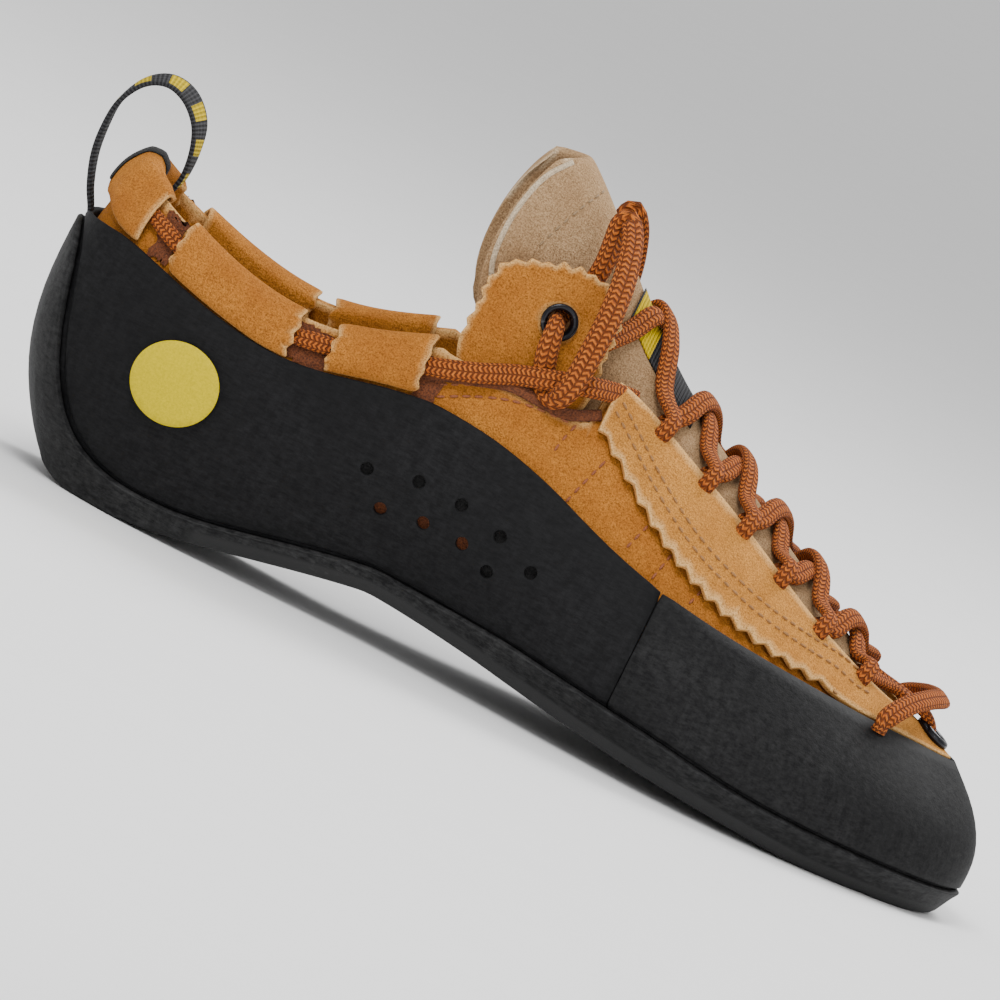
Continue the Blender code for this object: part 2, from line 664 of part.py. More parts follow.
def make_tab(name, side):
    """Pinked tab that stands up inside the dip of the upper and carries the top eyelet."""
    centre_x = TAB_EYELET[0] * LENGTH
    centre_z = TAB_EYELET[1] * INSTEP
    hole = EYELET_HOLE / 2 + EYELET_METAL
    angles = np.linspace(0, 2 * math.pi, 2 * TAB_TEETH, endpoint=False)
    reach = smooth_table(TAB_OUTLINE, np.degrees(angles)) / 1000
    reach = reach * INSTEP / .079
    up = np.sin(angles) > -.45
    reach = reach - TOOTH * (np.arange(len(angles)) % 2) * up
    rings = []
    for angle, far in zip(angles, reach):
        outer, inner = [], []
        for share in (0, .5, 1):
            out = hole + (far - hole) * share
            x = centre_x + math.cos(angle) * out
            z = centre_z + math.sin(angle) * out
            outer.append(side_profile(x, z, -TAB_DEPTH, side, TAB_LEAN))
            inner.append(outer[-1] - (0, side * TAB, 0))
        rings.append(outer + inner[::-1])
    return body(name, rings, "suede", closed=True)


def eyelet_rings(centre, axis, thick):
    """Rolled eyelet as a closed ring of sections round an axis, over a layer of a given thickness."""
    axis = Vector(axis).normalized()
    start = axis.orthogonal().normalized()
    count = 12
    inner = EYELET_HOLE / 2
    outer = EYELET_RIM / 2
    barrel = inner + EYELET_METAL - GAP
    low = -thick / 2 - GAP
    high = thick / 2 + GAP
    profile = ((inner, low - EYELET_METAL), (outer * .85, low - EYELET_METAL), (outer * .85, low), (barrel, low),
               (barrel, high), (outer, high), (outer * .93, high + EYELET_METAL), (inner, high + EYELET_METAL))
    rings = []
    for i in range(count):
        turn = start.copy()
        turn.rotate(Quaternion(axis, 2 * math.pi * i / count))
        rings.append([tuple(Vector(centre) + turn * r + axis * a) for r, a in profile])
    return rings


def make_tab_eyelet(name, side):
    """Eyelet through a tab."""
    x = TAB_EYELET[0] * LENGTH
    z = TAB_EYELET[1] * INSTEP
    here = side_profile(x, z, -TAB_DEPTH, side, TAB_LEAN)
    ahead = side_profile(x + .003, z, -TAB_DEPTH, side, TAB_LEAN)
    above = side_profile(x, z + .003, -TAB_DEPTH, side, TAB_LEAN)
    axis = np.cross(ahead - here, above - here)
    if axis[1] * side < 0:
        axis = -axis
    axis = axis / np.linalg.norm(axis)
    centre = here - (0, side * TAB / 2, 0)
    return body(name, eyelet_rings(centre, axis, TAB + 2 * GAP), "eyelet_metal", closed=True)


# Places where the lace turns at the throat's edge, by station, from the ankle to the toes
LACE_TURNS = (5.85, 6.48, 7.03, 7.57, 8.15, 8.85)
LACE_DOWN = 0.0032       # how far below the eyestay's edge it turns
LACE_LAY = CURVE_GAP + OVERLAY + CURVE_GAP + LACE / 2


def sweep(name, points, normals, widths, thick, finish, sides=6):
    """Flat oval cord along points, its flat side square to the normals; widths may vary."""
    points = np.asarray(points, float)
    normals = np.asarray(normals, float)
    along = np.gradient(points, axis=0)
    along = along / np.linalg.norm(along, axis=1, keepdims=True)
    across = np.cross(along, normals)
    across = across / np.linalg.norm(across, axis=1, keepdims=True)
    up = np.cross(across, along)
    angles = np.arange(sides) * 2 * math.pi / sides
    wide = np.broadcast_to(widths, (len(points),))[:, None, None] / 2
    rings = (points[:, None] + across[:, None] * np.cos(angles)[None, :, None] * wide
             + up[:, None] * np.sin(angles)[None, :, None] * thick / 2)
    return body(name, rings, finish)


def lace_turn(station, side):
    """Points of the U-turn that a lace makes on the eyestay."""
    points = []
    for shift, down in ((-.13, .3), (-.08, 1.1), (.08, 1.1), (.13, .3)):
        s = station + shift
        place = s if side < 0 else ROUND - s
        h = 1 - LACE_DOWN * down / rib_length(place)
        here = last(place, h, LACE_LAY)
        points.append((here, here - last(place, h, 0)))
    return points


def make_crossings(name, first_side, high):
    """One lace zigzagging over the throat; a second one starts on the other side and lies lower."""
    path = []
    side = first_side
    for i, station in enumerate(LACE_TURNS):
        turn = lace_turn(station, side)
        if i == 0:
            turn = turn[2:]
        if i == len(LACE_TURNS) - 1:
            turn = turn[:2]
        path += [(*pair, LACE_WIDTH * .6) for pair in turn]
        if i == len(LACE_TURNS) - 1:
            break
        after = LACE_TURNS[i + 1]
        for way in (-.8, -.42, 0, .42, .8):
            share = (way + 1) / 2
            lift = high if abs(way) < .5 else 0
            edge = (LACE_LAY + WALL + 2 * CURVE_GAP) * abs(way) ** 1.4
            clear = 3 * CURVE_GAP + LACE / 2
            base = station + .13 + (after - station - .26) * share
            point, out = over_tongue(base, -side * way, max(edge, clear) + lift)
            path.append((point, out, LACE_WIDTH * (.9 - .25 * abs(way))))
        side = -side
    return sweep(name, [p[0] for p in path], [p[1] for p in path], [p[2] for p in path], LACE, "lace_cord")


def smooth_path(points, count):
    """Points at even steps on a smooth curve through a few hand-placed ones."""
    points = np.asarray(points, float)
    padded = np.concatenate((2 * points[:1] - points[1:2], points, 2 * points[-1:] - points[-2:-1]))
    dense = []
    for i in range(len(points) - 1):
        a, b, c, d = padded[i:i + 4]
        for t in np.arange(0, 1, .05):
            dense.append(.5 * (2 * b + (c - a) * t + (2 * a - 5 * b + 4 * c - d) * t * t
                               + (3 * b - a - 3 * c + d) * t ** 3))
    dense = np.array(dense + [points[-1]])
    run = np.concatenate(([0], np.cumsum(np.linalg.norm(np.diff(dense, axis=0), axis=1))))
    even = np.linspace(0, run[-1], count)
    return np.stack([np.interp(even, run, dense[:, k]) for k in range(3)], axis=1)


# Lace at the toe, lying over the front of the eyestay. Shares of LENGTH, BALL_WIDTH and INSTEP.
TOE_BAR = ((.705, -.155, .475), (.722, -.06, .543), (.742, .03, .575), (.752, .12, .575), (.742, .21, .568),
           (.722, .31, .532), (.706, .385, .470))

# Standing loop of lace beside the tongue: from outside the tab up to its bight and down inside
LACE_LOOP = ((.3101, -.313, .95), (.3240, -.312, 1.06), (.3320, -.300, 1.19), (.3340, -.250, 1.31),
             (.3280, -.180, 1.400), (.3100, -.128, 1.448), (.2930, -.135, 1.430), (.2880, -.172, 1.37),
             (.2900, -.192, 1.30), (.2900, -.198, 1.22), (.2898, -.200, 1.165))

# Pull loop in the shoe's middle plane, outside to inside. Shares of LENGTH and INSTEP.
PULL_LOOP = ((-.1367, .742), (-.1430, .790), (-.1530, .860), (-.1575, .935), (-.1571, 1.01), (-.1510, 1.090),
             (-.1390, 1.142), (-.1230, 1.166), (-.1080, 1.162), (-.0930, 1.142), (-.0800, 1.098),
             (-.0728, 1.040), (-.0712, .975), (-.0745, .915), (-.0790, .868))


def make_pull_loop():
    """Woven loop at the heel, from above the rubber outside to the fold's inside."""
    path = smooth_path([(x * LENGTH, 0, z * INSTEP) for x, z in PULL_LOOP], 22)
    along = np.gradient(path, axis=0)
    along = along / np.linalg.norm(along, axis=1, keepdims=True)
    out = np.stack((along[:, 2], 0 * along[:, 2], -along[:, 0]), axis=1)
    rings = []
    for point, normal in zip(path, out):
        half = normal * WEB / 2
        aside = np.array((0, WEB_WIDTH / 2, 0))
        rings.append((point + half - aside, point + half + aside, point - half + aside, point - half - aside))
    return body("pull_loop", rings, "webbing")


def make_badge():
    """Bare round disc on the outer side of the heel."""
    x = .0087 * LENGTH
    z = .437 * INSTEP
    angles = np.linspace(0, 2 * math.pi, 24, endpoint=False)
    rings = []
    for high in (RAND + CURVE_GAP + BADGE_THICK, RAND + CURVE_GAP):
        rings.append(on_side(x + np.cos(angles) * BADGE / 2, z + np.sin(angles) * BADGE / 2 * .93, high, -1))
    outer = on_side(np.array([x]), np.array([z]), RAND + CURVE_GAP + BADGE_THICK, -1)[0]
    inner = on_side(np.array([x]), np.array([z]), RAND + CURVE_GAP, -1)[0]
    verts = [tuple(p) for ring in rings for p in ring] + [tuple(outer), tuple(inner)]
    faces = []
    for i in range(24):
        after = (i + 1) % 24
        faces += [(i, after, 24 + after, 24 + i), (after, i, 48), (24 + i, 24 + after, 49)]
    return solid("badge", verts, faces, "badge_yellow")


def make_toe_eyelet():
    """Eyelet at the front end of the throat, seated on the eyestay."""
    place = 1 - .0069 / rib_length(HALF)
    here = last(HALF, place, CURVE_GAP + OVERLAY + GAP)
    axis = here - last(HALF, place, 0)
    return body("eyelet_toe", eyelet_rings(here + axis / np.linalg.norm(axis) * EYELET_METAL * 1.2, axis, 0),
                "eyelet_metal", closed=True)


# Lace beside the tabs by station: height as a share of INSTEP and distance from the last in mm
COLLAR_RUN = ((3.7, .822, 1.2), (3.95, .842, 1.6), (4.25, .872, 2.2), (4.55, .893, 2.9), (4.85, .910, 3.9))


def make_collar_lace():
    """Lace from beside the throat, outside the tabs and through the collar folds, round the heel."""
    half = []
    for s in (0, .2, .4, .6, .8, 1, 1.2, 1.4, 1.7, 2.1, 2.5, 2.9, 3.3):
        puff = HEEL_PUFF + (1 - HEEL_PUFF) * min(s / 2, 1)
        below = .0042 + .0013 * min(s / 2, 1)
        half.append((s, 1 - below / float(rib_length(s)), .0013 * puff))
    for s, high, away in COLLAR_RUN:
        half.append((s, float(share_at(s, high * INSTEP)), away / 1000))
    way = [(ROUND - s, h, away) for s, h, away in half[:0:-1]] + half
    path = [last(s, h, away) for s, h, away in way]
    facing = [last(s, h, away) - last(s, h, 0) for s, h, away in way]
    return sweep("lace_collar", path, facing, .0038, .0013, "lace_cord")


def make_loop(name, side):
    """Standing loop of lace beside the tongue."""
    path = smooth_path([(x * LENGTH, -side * y * BALL_WIDTH, z * INSTEP) for x, y, z in LACE_LOOP], 17)
    facing = np.tile(np.array((.35, side, .1)), (len(path), 1))
    return sweep(name, path, facing, LACE_WIDTH * .72, LACE * .85, "lace_cord")


def make_toe_bar():
    """Lace over the toe eyelet."""
    path = smooth_path([(x * LENGTH, y * BALL_WIDTH, z * INSTEP) for x, y, z in TOE_BAR], 12)
    facing = np.tile(np.array((.45, 0, 1.0)), (len(path), 1))
    return sweep("lace_toe", path, facing, LACE_WIDTH * .9, LACE, "lace_cord")


make_upper()
make_outsole()
make_insole()
make_rear_rand()
make_toe_rand()
make_eyestay()
make_tongue()
make_label()
make_fold("collar_heel", -1.2, 1.2, HEEL_PUFF, HEEL_BARE)
make_fold("collar_lateral_rear", 1.5, 2.68)
make_fold("collar_lateral_front", 2.98, 3.78)
make_fold("collar_medial_rear", ROUND - 2.68, ROUND - 1.5)
make_fold("collar_medial_front", ROUND - 3.7, ROUND - 2.8)
make_heel_tape()
make_tab("tab_lateral", -1)
make_tab("tab_medial", 1)
make_tab_eyelet("eyelet_lateral", -1)
make_tab_eyelet("eyelet_medial", 1)
make_toe_eyelet()
make_badge()
make_pull_loop()
make_crossings("lace_over", -1, LACE + CURVE_GAP)
make_crossings("lace_under", 1, 0)
make_toe_bar()
make_collar_lace()
make_loop("lace_loop_lateral", -1)
make_loop("lace_loop_medial", 1)
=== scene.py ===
# %% [markdown]
# # A laced climbing shoe, finished over its imported parts
# The imported parts give the shoe's form: shells, bands, tabs and laces as coarse facets. This script
# turns them into suede, rubber, webbing and braid. It works in metres, in the parts' own frame:
# +X to the toes, +Z up, -Y to the outer side of the foot, which is the side that the camera sees.
#
# The first cell loads the parts.

import math
import random

import bmesh
import bpy
import numpy as np
from mathutils import Matrix, Vector
from mathutils.bvhtree import BVHTree
from mathutils.kdtree import KDTree


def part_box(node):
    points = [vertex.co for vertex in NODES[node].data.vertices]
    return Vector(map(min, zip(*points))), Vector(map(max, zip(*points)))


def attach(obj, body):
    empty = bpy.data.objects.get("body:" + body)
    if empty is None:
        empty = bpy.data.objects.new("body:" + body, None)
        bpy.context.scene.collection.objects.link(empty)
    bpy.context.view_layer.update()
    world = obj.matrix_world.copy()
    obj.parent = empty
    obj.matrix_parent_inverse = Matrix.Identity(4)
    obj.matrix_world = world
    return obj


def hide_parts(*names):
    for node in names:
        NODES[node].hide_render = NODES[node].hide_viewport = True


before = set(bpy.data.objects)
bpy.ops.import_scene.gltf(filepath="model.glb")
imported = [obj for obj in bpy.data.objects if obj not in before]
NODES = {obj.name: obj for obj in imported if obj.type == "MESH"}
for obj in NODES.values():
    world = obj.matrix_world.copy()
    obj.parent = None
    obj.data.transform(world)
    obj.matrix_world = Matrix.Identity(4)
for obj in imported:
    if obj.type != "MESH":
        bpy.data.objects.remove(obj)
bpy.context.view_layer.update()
MM = 0.001
LATERAL = -1
MEDIAL = 1
SIDES = {LATERAL: "lateral", MEDIAL: "medial"}
random.seed(7)
print("parts loaded:", len(NODES))

# %% [markdown]
# Materials come first. Each is built from nodes on one Principled shader. The coordinates are the
# object's own, so a grain of 0.5 mm is the same size on every piece, as it is on hide and rubber.
# A small helper wires nodes together, so that each finish reads as a short recipe.

# %% A helper that starts a material
class Recipe:
    """A material with its Principled shader, and short ways to add and wire nodes."""

    def __init__(self, name, roughness, metallic=0.0, coords="Object"):
        self.material = bpy.data.materials.new(name)
        self.material.use_nodes = True
        self.tree = self.material.node_tree
        self.shader = self.tree.nodes["Principled BSDF"]
        self.shader.inputs["Roughness"].default_value = roughness
        self.shader.inputs["Metallic"].default_value = metallic
        self.place = self.tree.nodes.new("ShaderNodeTexCoord").outputs[coords]

    def link(self, source, target):
        self.tree.links.new(source, target)

    def stretched(self, scale):
        node = self.tree.nodes.new("ShaderNodeMapping")
        node.inputs["Scale"].default_value = scale
        self.link(self.place, node.inputs["Vector"])
        return node.outputs["Vector"]

    def noise(self, scale, detail=3.0, rough=0.6, stretch=None):
        node = self.tree.nodes.new("ShaderNodeTexNoise")
        node.inputs["Scale"].default_value = scale
        node.inputs["Detail"].default_value = detail
        node.inputs["Roughness"].default_value = rough
        self.link(self.stretched(stretch) if stretch else self.place, node.inputs["Vector"])
        return node.outputs["Fac"]

    def voronoi(self, scale, stretch=None):
        node = self.tree.nodes.new("ShaderNodeTexVoronoi")
        node.inputs["Scale"].default_value = scale
        self.link(self.stretched(stretch) if stretch else self.place, node.inputs["Vector"])
        return node.outputs["Distance"]

    def attribute(self, name):
        node = self.tree.nodes.new("ShaderNodeAttribute")
        node.attribute_name = name
        return node.outputs["Fac"]

    def between(self, value, low, high):
        node = self.tree.nodes.new("ShaderNodeMapRange")
        node.inputs["From Min"].default_value = low
        node.inputs["From Max"].default_value = high
        self.link(value, node.inputs["Value"])
        return node.outputs["Result"]

    def math(self, kind, first, second=0):
        node = self.tree.nodes.new("ShaderNodeMath")
        node.operation = kind
        for socket, value in zip(node.inputs, (first, second)):
            if isinstance(value, (int, float)):
                socket.default_value = value
            else:
                self.link(value, socket)
        return node.outputs["Value"]

    def times(self, first, second):
        return self.math("MULTIPLY", first, second)

    def plus(self, first, second):
        return self.math("ADD", first, second)

    def mix(self, factor, first, second):
        node = self.tree.nodes.new("ShaderNodeMix")
        node.data_type = "RGBA"
        self.link(factor, node.inputs["Factor"])
        for socket, value in zip((node.inputs["A"], node.inputs["B"]), (first, second)):
            if isinstance(value, tuple):
                socket.default_value = (*value, 1)
            else:
                self.link(value, socket)
        return node.outputs["Result"]

    def colour(self, value):
        self.link(value, self.shader.inputs["Base Color"])

    def specular(self, value):
        self.shader.inputs["Specular IOR Level"].default_value = value

    def bump(self, height, distance, strength=1.0, below=None):
        node = self.tree.nodes.new("ShaderNodeBump")
        node.inputs["Strength"].default_value = strength
        node.inputs["Distance"].default_value = distance
        self.link(height, node.inputs["Height"])
        if below is not None:
            self.link(below, node.inputs["Normal"])
        self.link(node.outputs["Normal"], self.shader.inputs["Normal"])
        return node.outputs["Normal"]


print("material helper ready")

# %% [markdown]
# Suede is the fibrous flesh side of hide. Under a studio lamp it shows three things: a grain of fine
# fibres about 0.4 mm apart, soft cloudy patches where the nap has been stroked, and a pale bloom at
# grazing angles. The first two are noises on colour and height, the third is the shader's sheen. Where
# the hide is cut it is painted a paler tone, partly as fray and partly as painted highlight on the edge:
# a value called rim, kept on the mesh, says where that is.

# %% Suede in four tones
def suede(name, dark, light, cut, bloom=0.35):
    """Napped leather between two tones, with cut edges painted in a third, partly fray and partly painted
    highlight.
    """
    recipe = Recipe(name, 0.95)
    fibres = recipe.noise(2600, 4, 0.7)
    patches = recipe.between(recipe.noise(75, 5, 0.65), 0.32, 0.68)
    strokes = recipe.noise(320, 4, 0.6, stretch=(1, 1.6, 3.2))
    tone = recipe.plus(recipe.times(patches, 0.55), recipe.times(strokes, 0.45))
    cloudy = recipe.mix(tone, dark, light)
    grain = recipe.between(fibres, 0.34, 0.62)
    pits = recipe.mix(grain, tuple(0.50 * c for c in dark), cloudy)
    # Near cut edges the colour goes to the paler tone: partly fray, partly painted highlight.
    fray_and_highlight = recipe.times(recipe.attribute("rim"), recipe.between(fibres, 0.30, 0.55))
    recipe.colour(recipe.mix(fray_and_highlight, pits, cut))
    soft = recipe.bump(strokes, 0.0006, 0.55)
    recipe.bump(fibres, 0.00045, 0.9, below=soft)
    recipe.shader.inputs["Sheen Weight"].default_value = bloom
    recipe.shader.inputs["Sheen Roughness"].default_value = 0.45
    recipe.shader.inputs["Sheen Tint"].default_value = (*light, 1)
    recipe.specular(0.15)
    return recipe.material


# The third tone of each is its edge colour: partly fray, partly painted highlight.
TAN = suede("suede_tan", (0.35, 0.108, 0.014), (0.68, 0.275, 0.045), (0.78, 0.47, 0.18))
PALE = suede("suede_pale_tan", (0.45, 0.17, 0.028), (0.80, 0.37, 0.080), (0.82, 0.50, 0.20))
BEIGE = suede("suede_beige", (0.36, 0.205, 0.095), (0.64, 0.43, 0.235), (0.74, 0.58, 0.38))
# Pale tone for raw edges: partly the raw edge, partly painted highlight.
RAW_EDGE_AND_HIGHLIGHT = suede("suede_raw_edge_and_highlight", (0.60, 0.45, 0.29), (0.80, 0.66, 0.47), (0.80, 0.66, 0.47))
print("suedes:", TAN.name, PALE.name, BEIGE.name, RAW_EDGE_AND_HIGHLIGHT.name)

# %% [markdown]
# Climbing rubber is sanded before it is glued, so it is matt and covered in fine parallel scratches,
# with grey dust in them. The scratches are noise stretched along one direction; a second, turned set
# keeps them from looking combed. Along the sole's bevelled lower edge a band is painted greyer, as
# painted light reflected from the floor: the value rim marks it.

# %% Rubber
def rubber(name, base, dust_and_edge_light, amount, stretch):
    """Sanded black rubber, pale and dusty in its scratches, and painted greyer where rim is set, as reflected
    light.
    """
    recipe = Recipe(name, 0.62)
    scratch = recipe.noise(900, 5, 0.75, stretch=stretch)
    cross = recipe.noise(700, 4, 0.7, stretch=(1.0, 1.0, 0.25))
    cloud = recipe.between(recipe.noise(28, 4, 0.6), 0.30, 0.72)
    lines = recipe.between(recipe.plus(scratch, recipe.times(cross, 0.5)), 0.60, 1.05)
    weight = recipe.times(lines, recipe.plus(recipe.times(cloud, 0.7), 0.3))
    # Where rim is set the colour goes greyer: painted light reflected from the floor.
    painted_edge_light = recipe.times(recipe.attribute("rim"), 0.36)
    recipe.colour(recipe.mix(recipe.math("MAXIMUM", recipe.times(weight, amount), painted_edge_light), base, dust_and_edge_light))
    low = recipe.bump(recipe.noise(120, 4, 0.6), 0.0005, 0.35)
    recipe.bump(scratch, 0.00022, 0.7, below=low)
    recipe.specular(0.13)
    return recipe.material


RAND_RUBBER = rubber("rubber_rand", (0.0030, 0.0030, 0.0034), (0.034, 0.034, 0.036), 0.45, (0.45, 0.45, 1.3))
TOE_RUBBER = rubber("rubber_toe", (0.0036, 0.0036, 0.0040), (0.046, 0.046, 0.046), 0.60, (0.50, 0.7, 1.2))
SOLE_RUBBER = rubber("rubber_sole", (0.0052, 0.0052, 0.0056), (0.064, 0.064, 0.064), 0.70, (0.40, 0.5, 1.4))
print("rubbers:", RAND_RUBBER.name, TOE_RUBBER.name, SOLE_RUBBER.name)

# %% [markdown]
# Lace, webbing and label are woven. Their pieces carry a map of their own: u runs round the piece and
# v along it in widths. The braid is two sets of diagonal strands that pass over and under each other,
# which reads as columns of small chevrons: a wave along the lace, slanted towards each column's middle,
# gives them their height, and the gaps between strands are painted dark as painted shade.

# %% Braid for the laces
BRAID_COLUMNS = 8  # round the lace
BRAID_ROWS = 4.3  # in each width of its length


def braid(name, dark, light):
    """Flat oval braid: slanted strands in two directions."""
    recipe = Recipe(name, 0.85, coords="UV")
    split = recipe.tree.nodes.new("ShaderNodeSeparateXYZ")
    recipe.link(recipe.place, split.inputs["Vector"])
    column = recipe.math("FRACT", recipe.times(split.outputs["X"], BRAID_COLUMNS))
    slant = recipe.math("ABSOLUTE", recipe.math("SUBTRACT", column, 0.5))
    along = recipe.times(split.outputs["Y"], BRAID_ROWS)
    strand = recipe.plus(along, recipe.times(slant, 1.1))
    ridge = recipe.math("SINE", recipe.times(strand, 2 * math.pi))
    groove = recipe.between(slant, 0.50, 0.40)
    knots = recipe.times(recipe.between(ridge, -1.0, 0.35), groove)
    thread = recipe.noise(1500, 3, 0.7)
    fuzz = recipe.tree.nodes.new("ShaderNodeTexCoord").outputs["Object"]
    recipe.link(fuzz, thread.node.inputs["Vector"])
    worn = recipe.mix(recipe.between(thread, 0.3, 0.7), dark, light)
    # Between the strands the colour is painted darker: painted shade in the gaps.
    recipe.colour(recipe.mix(knots, tuple(0.42 * c for c in dark), worn))
    low = recipe.bump(knots, 0.0009, 0.9)
    recipe.bump(thread, 0.0002, 0.5, below=low)
    recipe.shader.inputs["Sheen Weight"].default_value = 0.03
    recipe.specular(0.2)
    return recipe.material


RUST = braid("lace_braid", (0.30, 0.060, 0.006), (0.54, 0.155, 0.020))
print("braid:", RUST.name)

# %% [markdown]
# The pull loop is black tape with a ribbed weave and short yellow dashes woven along its middle. The
# tongue's label is the same cloth with one broad yellow band. Both are left without any writing.

# %% Woven tape
TAPE_WARPS = 26


def tape(name, dash, ribs, low_u, high_u, low_v, high_v, repeat):
    """Ribbed black weave with a yellow mark in part of its map, repeated along v."""
    recipe = Recipe(name, 0.75, coords="UV")
    split = recipe.tree.nodes.new("ShaderNodeSeparateXYZ")
    recipe.link(recipe.place, split.inputs["Vector"])
    u = split.outputs["X"]
    v = split.outputs["Y"]
    rib = recipe.math("SINE", recipe.times(v, 2 * math.pi * ribs))
    warp = recipe.math("SINE", recipe.times(u, 2 * math.pi * TAPE_WARPS))
    weave = recipe.between(recipe.plus(rib, recipe.times(warp, 0.5)), -1.4, 1.4)
    part = recipe.math("FRACT", recipe.times(v, repeat))
    inside = recipe.times(recipe.math("GREATER_THAN", u, low_u), recipe.math("LESS_THAN", u, high_u))
    spell = recipe.times(recipe.math("GREATER_THAN", part, low_v), recipe.math("LESS_THAN", part, high_v))
    cloth = recipe.mix(weave, (0.006, 0.006, 0.007), (0.045, 0.045, 0.048))
    yellow = recipe.mix(weave, tuple(0.45 * c for c in dash), dash)
    recipe.colour(recipe.mix(recipe.times(inside, spell), cloth, yellow))
    recipe.bump(weave, 0.0003, 0.9)
    recipe.specular(0.15)
    return recipe.material


LOOP_TAPE = tape("tape_loop", (0.60, 0.43, 0.0), 9, 0.16, 0.34, 0.22, 0.70, 1.05)
LABEL_TAPE = tape("tape_label", (0.66, 0.46, 0.0), 30, -1, 2, 0.02, 0.34, 1)
print("tapes:", LOOP_TAPE.name, LABEL_TAPE.name)

# %% [markdown]
# The small trims: enamelled eyelets, the printed disc, waxed thread, the felted board inside and the
# near-black band over the heel. Its felt and a dark red-brown one also serve as painted shade in the
# vent holes and recesses. Each has some wear or texture, because nothing on a shoe is flat colour.

# %% Trim finishes
def enamel():
    recipe = Recipe("eyelet_enamel", 0.22, 0.6)
    chips = recipe.between(recipe.noise(420, 5, 0.7), 0.60, 0.72)
    recipe.colour(recipe.mix(chips, (0.010, 0.010, 0.013), (0.10, 0.09, 0.085)))
    recipe.bump(recipe.noise(900, 3), 0.0001, 0.3)
    return recipe.material


def printed():
    recipe = Recipe("disc_print", 0.55)
    speckle = recipe.between(recipe.noise(1900, 3, 0.7), 0.35, 0.65)
    recipe.colour(recipe.mix(speckle, (0.46, 0.355, 0.0), (0.58, 0.45, 0.0)))
    recipe.bump(recipe.noise(1500, 3), 0.0002, 0.6)
    recipe.specular(0.15)
    return recipe.material


def waxed(name, colour):
    recipe = Recipe(name, 0.7)
    twist = recipe.noise(4200, 2, 0.6)
    recipe.colour(recipe.mix(recipe.between(twist, 0.35, 0.65), tuple(0.45 * c for c in colour), colour))
    recipe.bump(twist, 0.0001, 0.6)
    return recipe.material


def felt(name, dark, light):
    recipe = Recipe(name, 0.97)
    hairs = recipe.voronoi(1700, stretch=(1, 0.4, 1))
    fluff = recipe.noise(2200, 4, 0.75)
    recipe.colour(recipe.mix(recipe.between(fluff, 0.35, 0.65), dark, light))
    low = recipe.bump(hairs, 0.0005, 0.5)
    recipe.bump(fluff, 0.0004, 0.8, below=low)
    return recipe.material


ENAMEL = enamel()
PRINT = printed()
THREAD = waxed("thread_rust", (0.30, 0.085, 0.025))
BROWN_THREAD = waxed("thread_brown", (0.34, 0.15, 0.035))
PALE_THREAD = waxed("thread_pale", (0.34, 0.22, 0.11))
FELT = felt("insole_felt", (0.035, 0.03, 0.028), (0.11, 0.095, 0.085))
# Near-black felt for the band over the heel, and painted shade at the bottom of the vent holes.
BLACK_FELT_AND_SHADE = felt("black_felt_and_painted_shade", (0.004, 0.004, 0.004), (0.018, 0.017, 0.017))
# Dark red-brown fuzz that is painted shade: in the recess under the collar lace, the gaps between the folds and
# three vent holes.
RECESS_SHADE = felt("painted_recess_shade", (0.045, 0.012, 0.004), (0.20, 0.055, 0.015))
print("trims ready")

# %% [markdown]
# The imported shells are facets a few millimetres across. A real shoe is stretched over a last and has
# no facets, so each shell is copied, its loose triangles welded and joined back to four-sided faces,
# and then subdivided. Rims stay crisp because their edges are creased before the subdivision.

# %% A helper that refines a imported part
def as_object(form, name):
    """Put a working mesh into the scene."""
    mesh = bpy.data.meshes.new(name)
    form.to_mesh(mesh)
    form.free()
    made = bpy.data.objects.new(name, mesh)
    bpy.context.scene.collection.objects.link(made)
    return made


def finish_mesh(form, name, material, node=None):
    """Turn a working mesh into a piece that rides the shoe."""
    piece = as_object(form, name)
    piece.data.materials.append(material)
    piece.data.shade_smooth()
    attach(piece, "root")
    if node:
        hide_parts(node)
    return piece


def welded(node, crease, sharp):
    """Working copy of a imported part, welded, with four-sided faces and creased rims."""
    form = bmesh.new()
    form.from_mesh(NODES[node].data)
    bmesh.ops.remove_doubles(form, verts=form.verts, dist=2e-6)
    bmesh.ops.join_triangles(form, faces=form.faces, angle_face_threshold=math.radians(28),
                             angle_shape_threshold=math.radians(60))
    layer = form.edges.layers.float.new("crease_edge")
    for edge in form.edges:
        if edge.calc_face_angle(0) > math.radians(sharp):
            edge[layer] = crease
    return form


def apply_modifier(piece, sharp):
    """Give a piece the mesh that its modifier makes, with edges sharp above an angle in degrees."""
    graph = bpy.context.evaluated_depsgraph_get()
    mesh = bpy.data.meshes.new_from_object(piece.evaluated_get(graph))
    piece.modifiers.clear()
    piece.data = mesh
    mesh.set_sharp_from_angle(angle=math.radians(sharp))


def refine(node, name, material, levels=2, crease=0.75, sharp=38):
    """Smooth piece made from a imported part, which it replaces."""
    rough = finish_mesh(welded(node, crease, sharp), name, material)
    smooth = rough.modifiers.new("smooth", "SUBSURF")
    smooth.levels = levels
    smooth.render_levels = levels
    apply_modifier(rough, 50)
    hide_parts(node)
    return rough


def mark_rims(piece, width, turn=42):
    """Keep on each point how near it is to a cut edge, from 0 to 1 on the edge itself."""
    form = bmesh.new()
    form.from_mesh(piece.data)
    rims = set()
    for edge in form.edges:
        if edge.calc_face_angle(0) > math.radians(turn):
            rims.update(vert.index for vert in edge.verts)
    finder = KDTree(max(len(rims), 1))
    for index in rims:
        finder.insert(piece.data.vertices[index].co, index)
    finder.balance()
    form.free()
    layer = piece.data.attributes.new("rim", "FLOAT", "POINT")
    for vert, value in zip(piece.data.vertices, layer.data):
        near = finder.find(vert.co)[2] if rims else 1.0
        value.value = max(0.0, 1 - near / (width * MM))


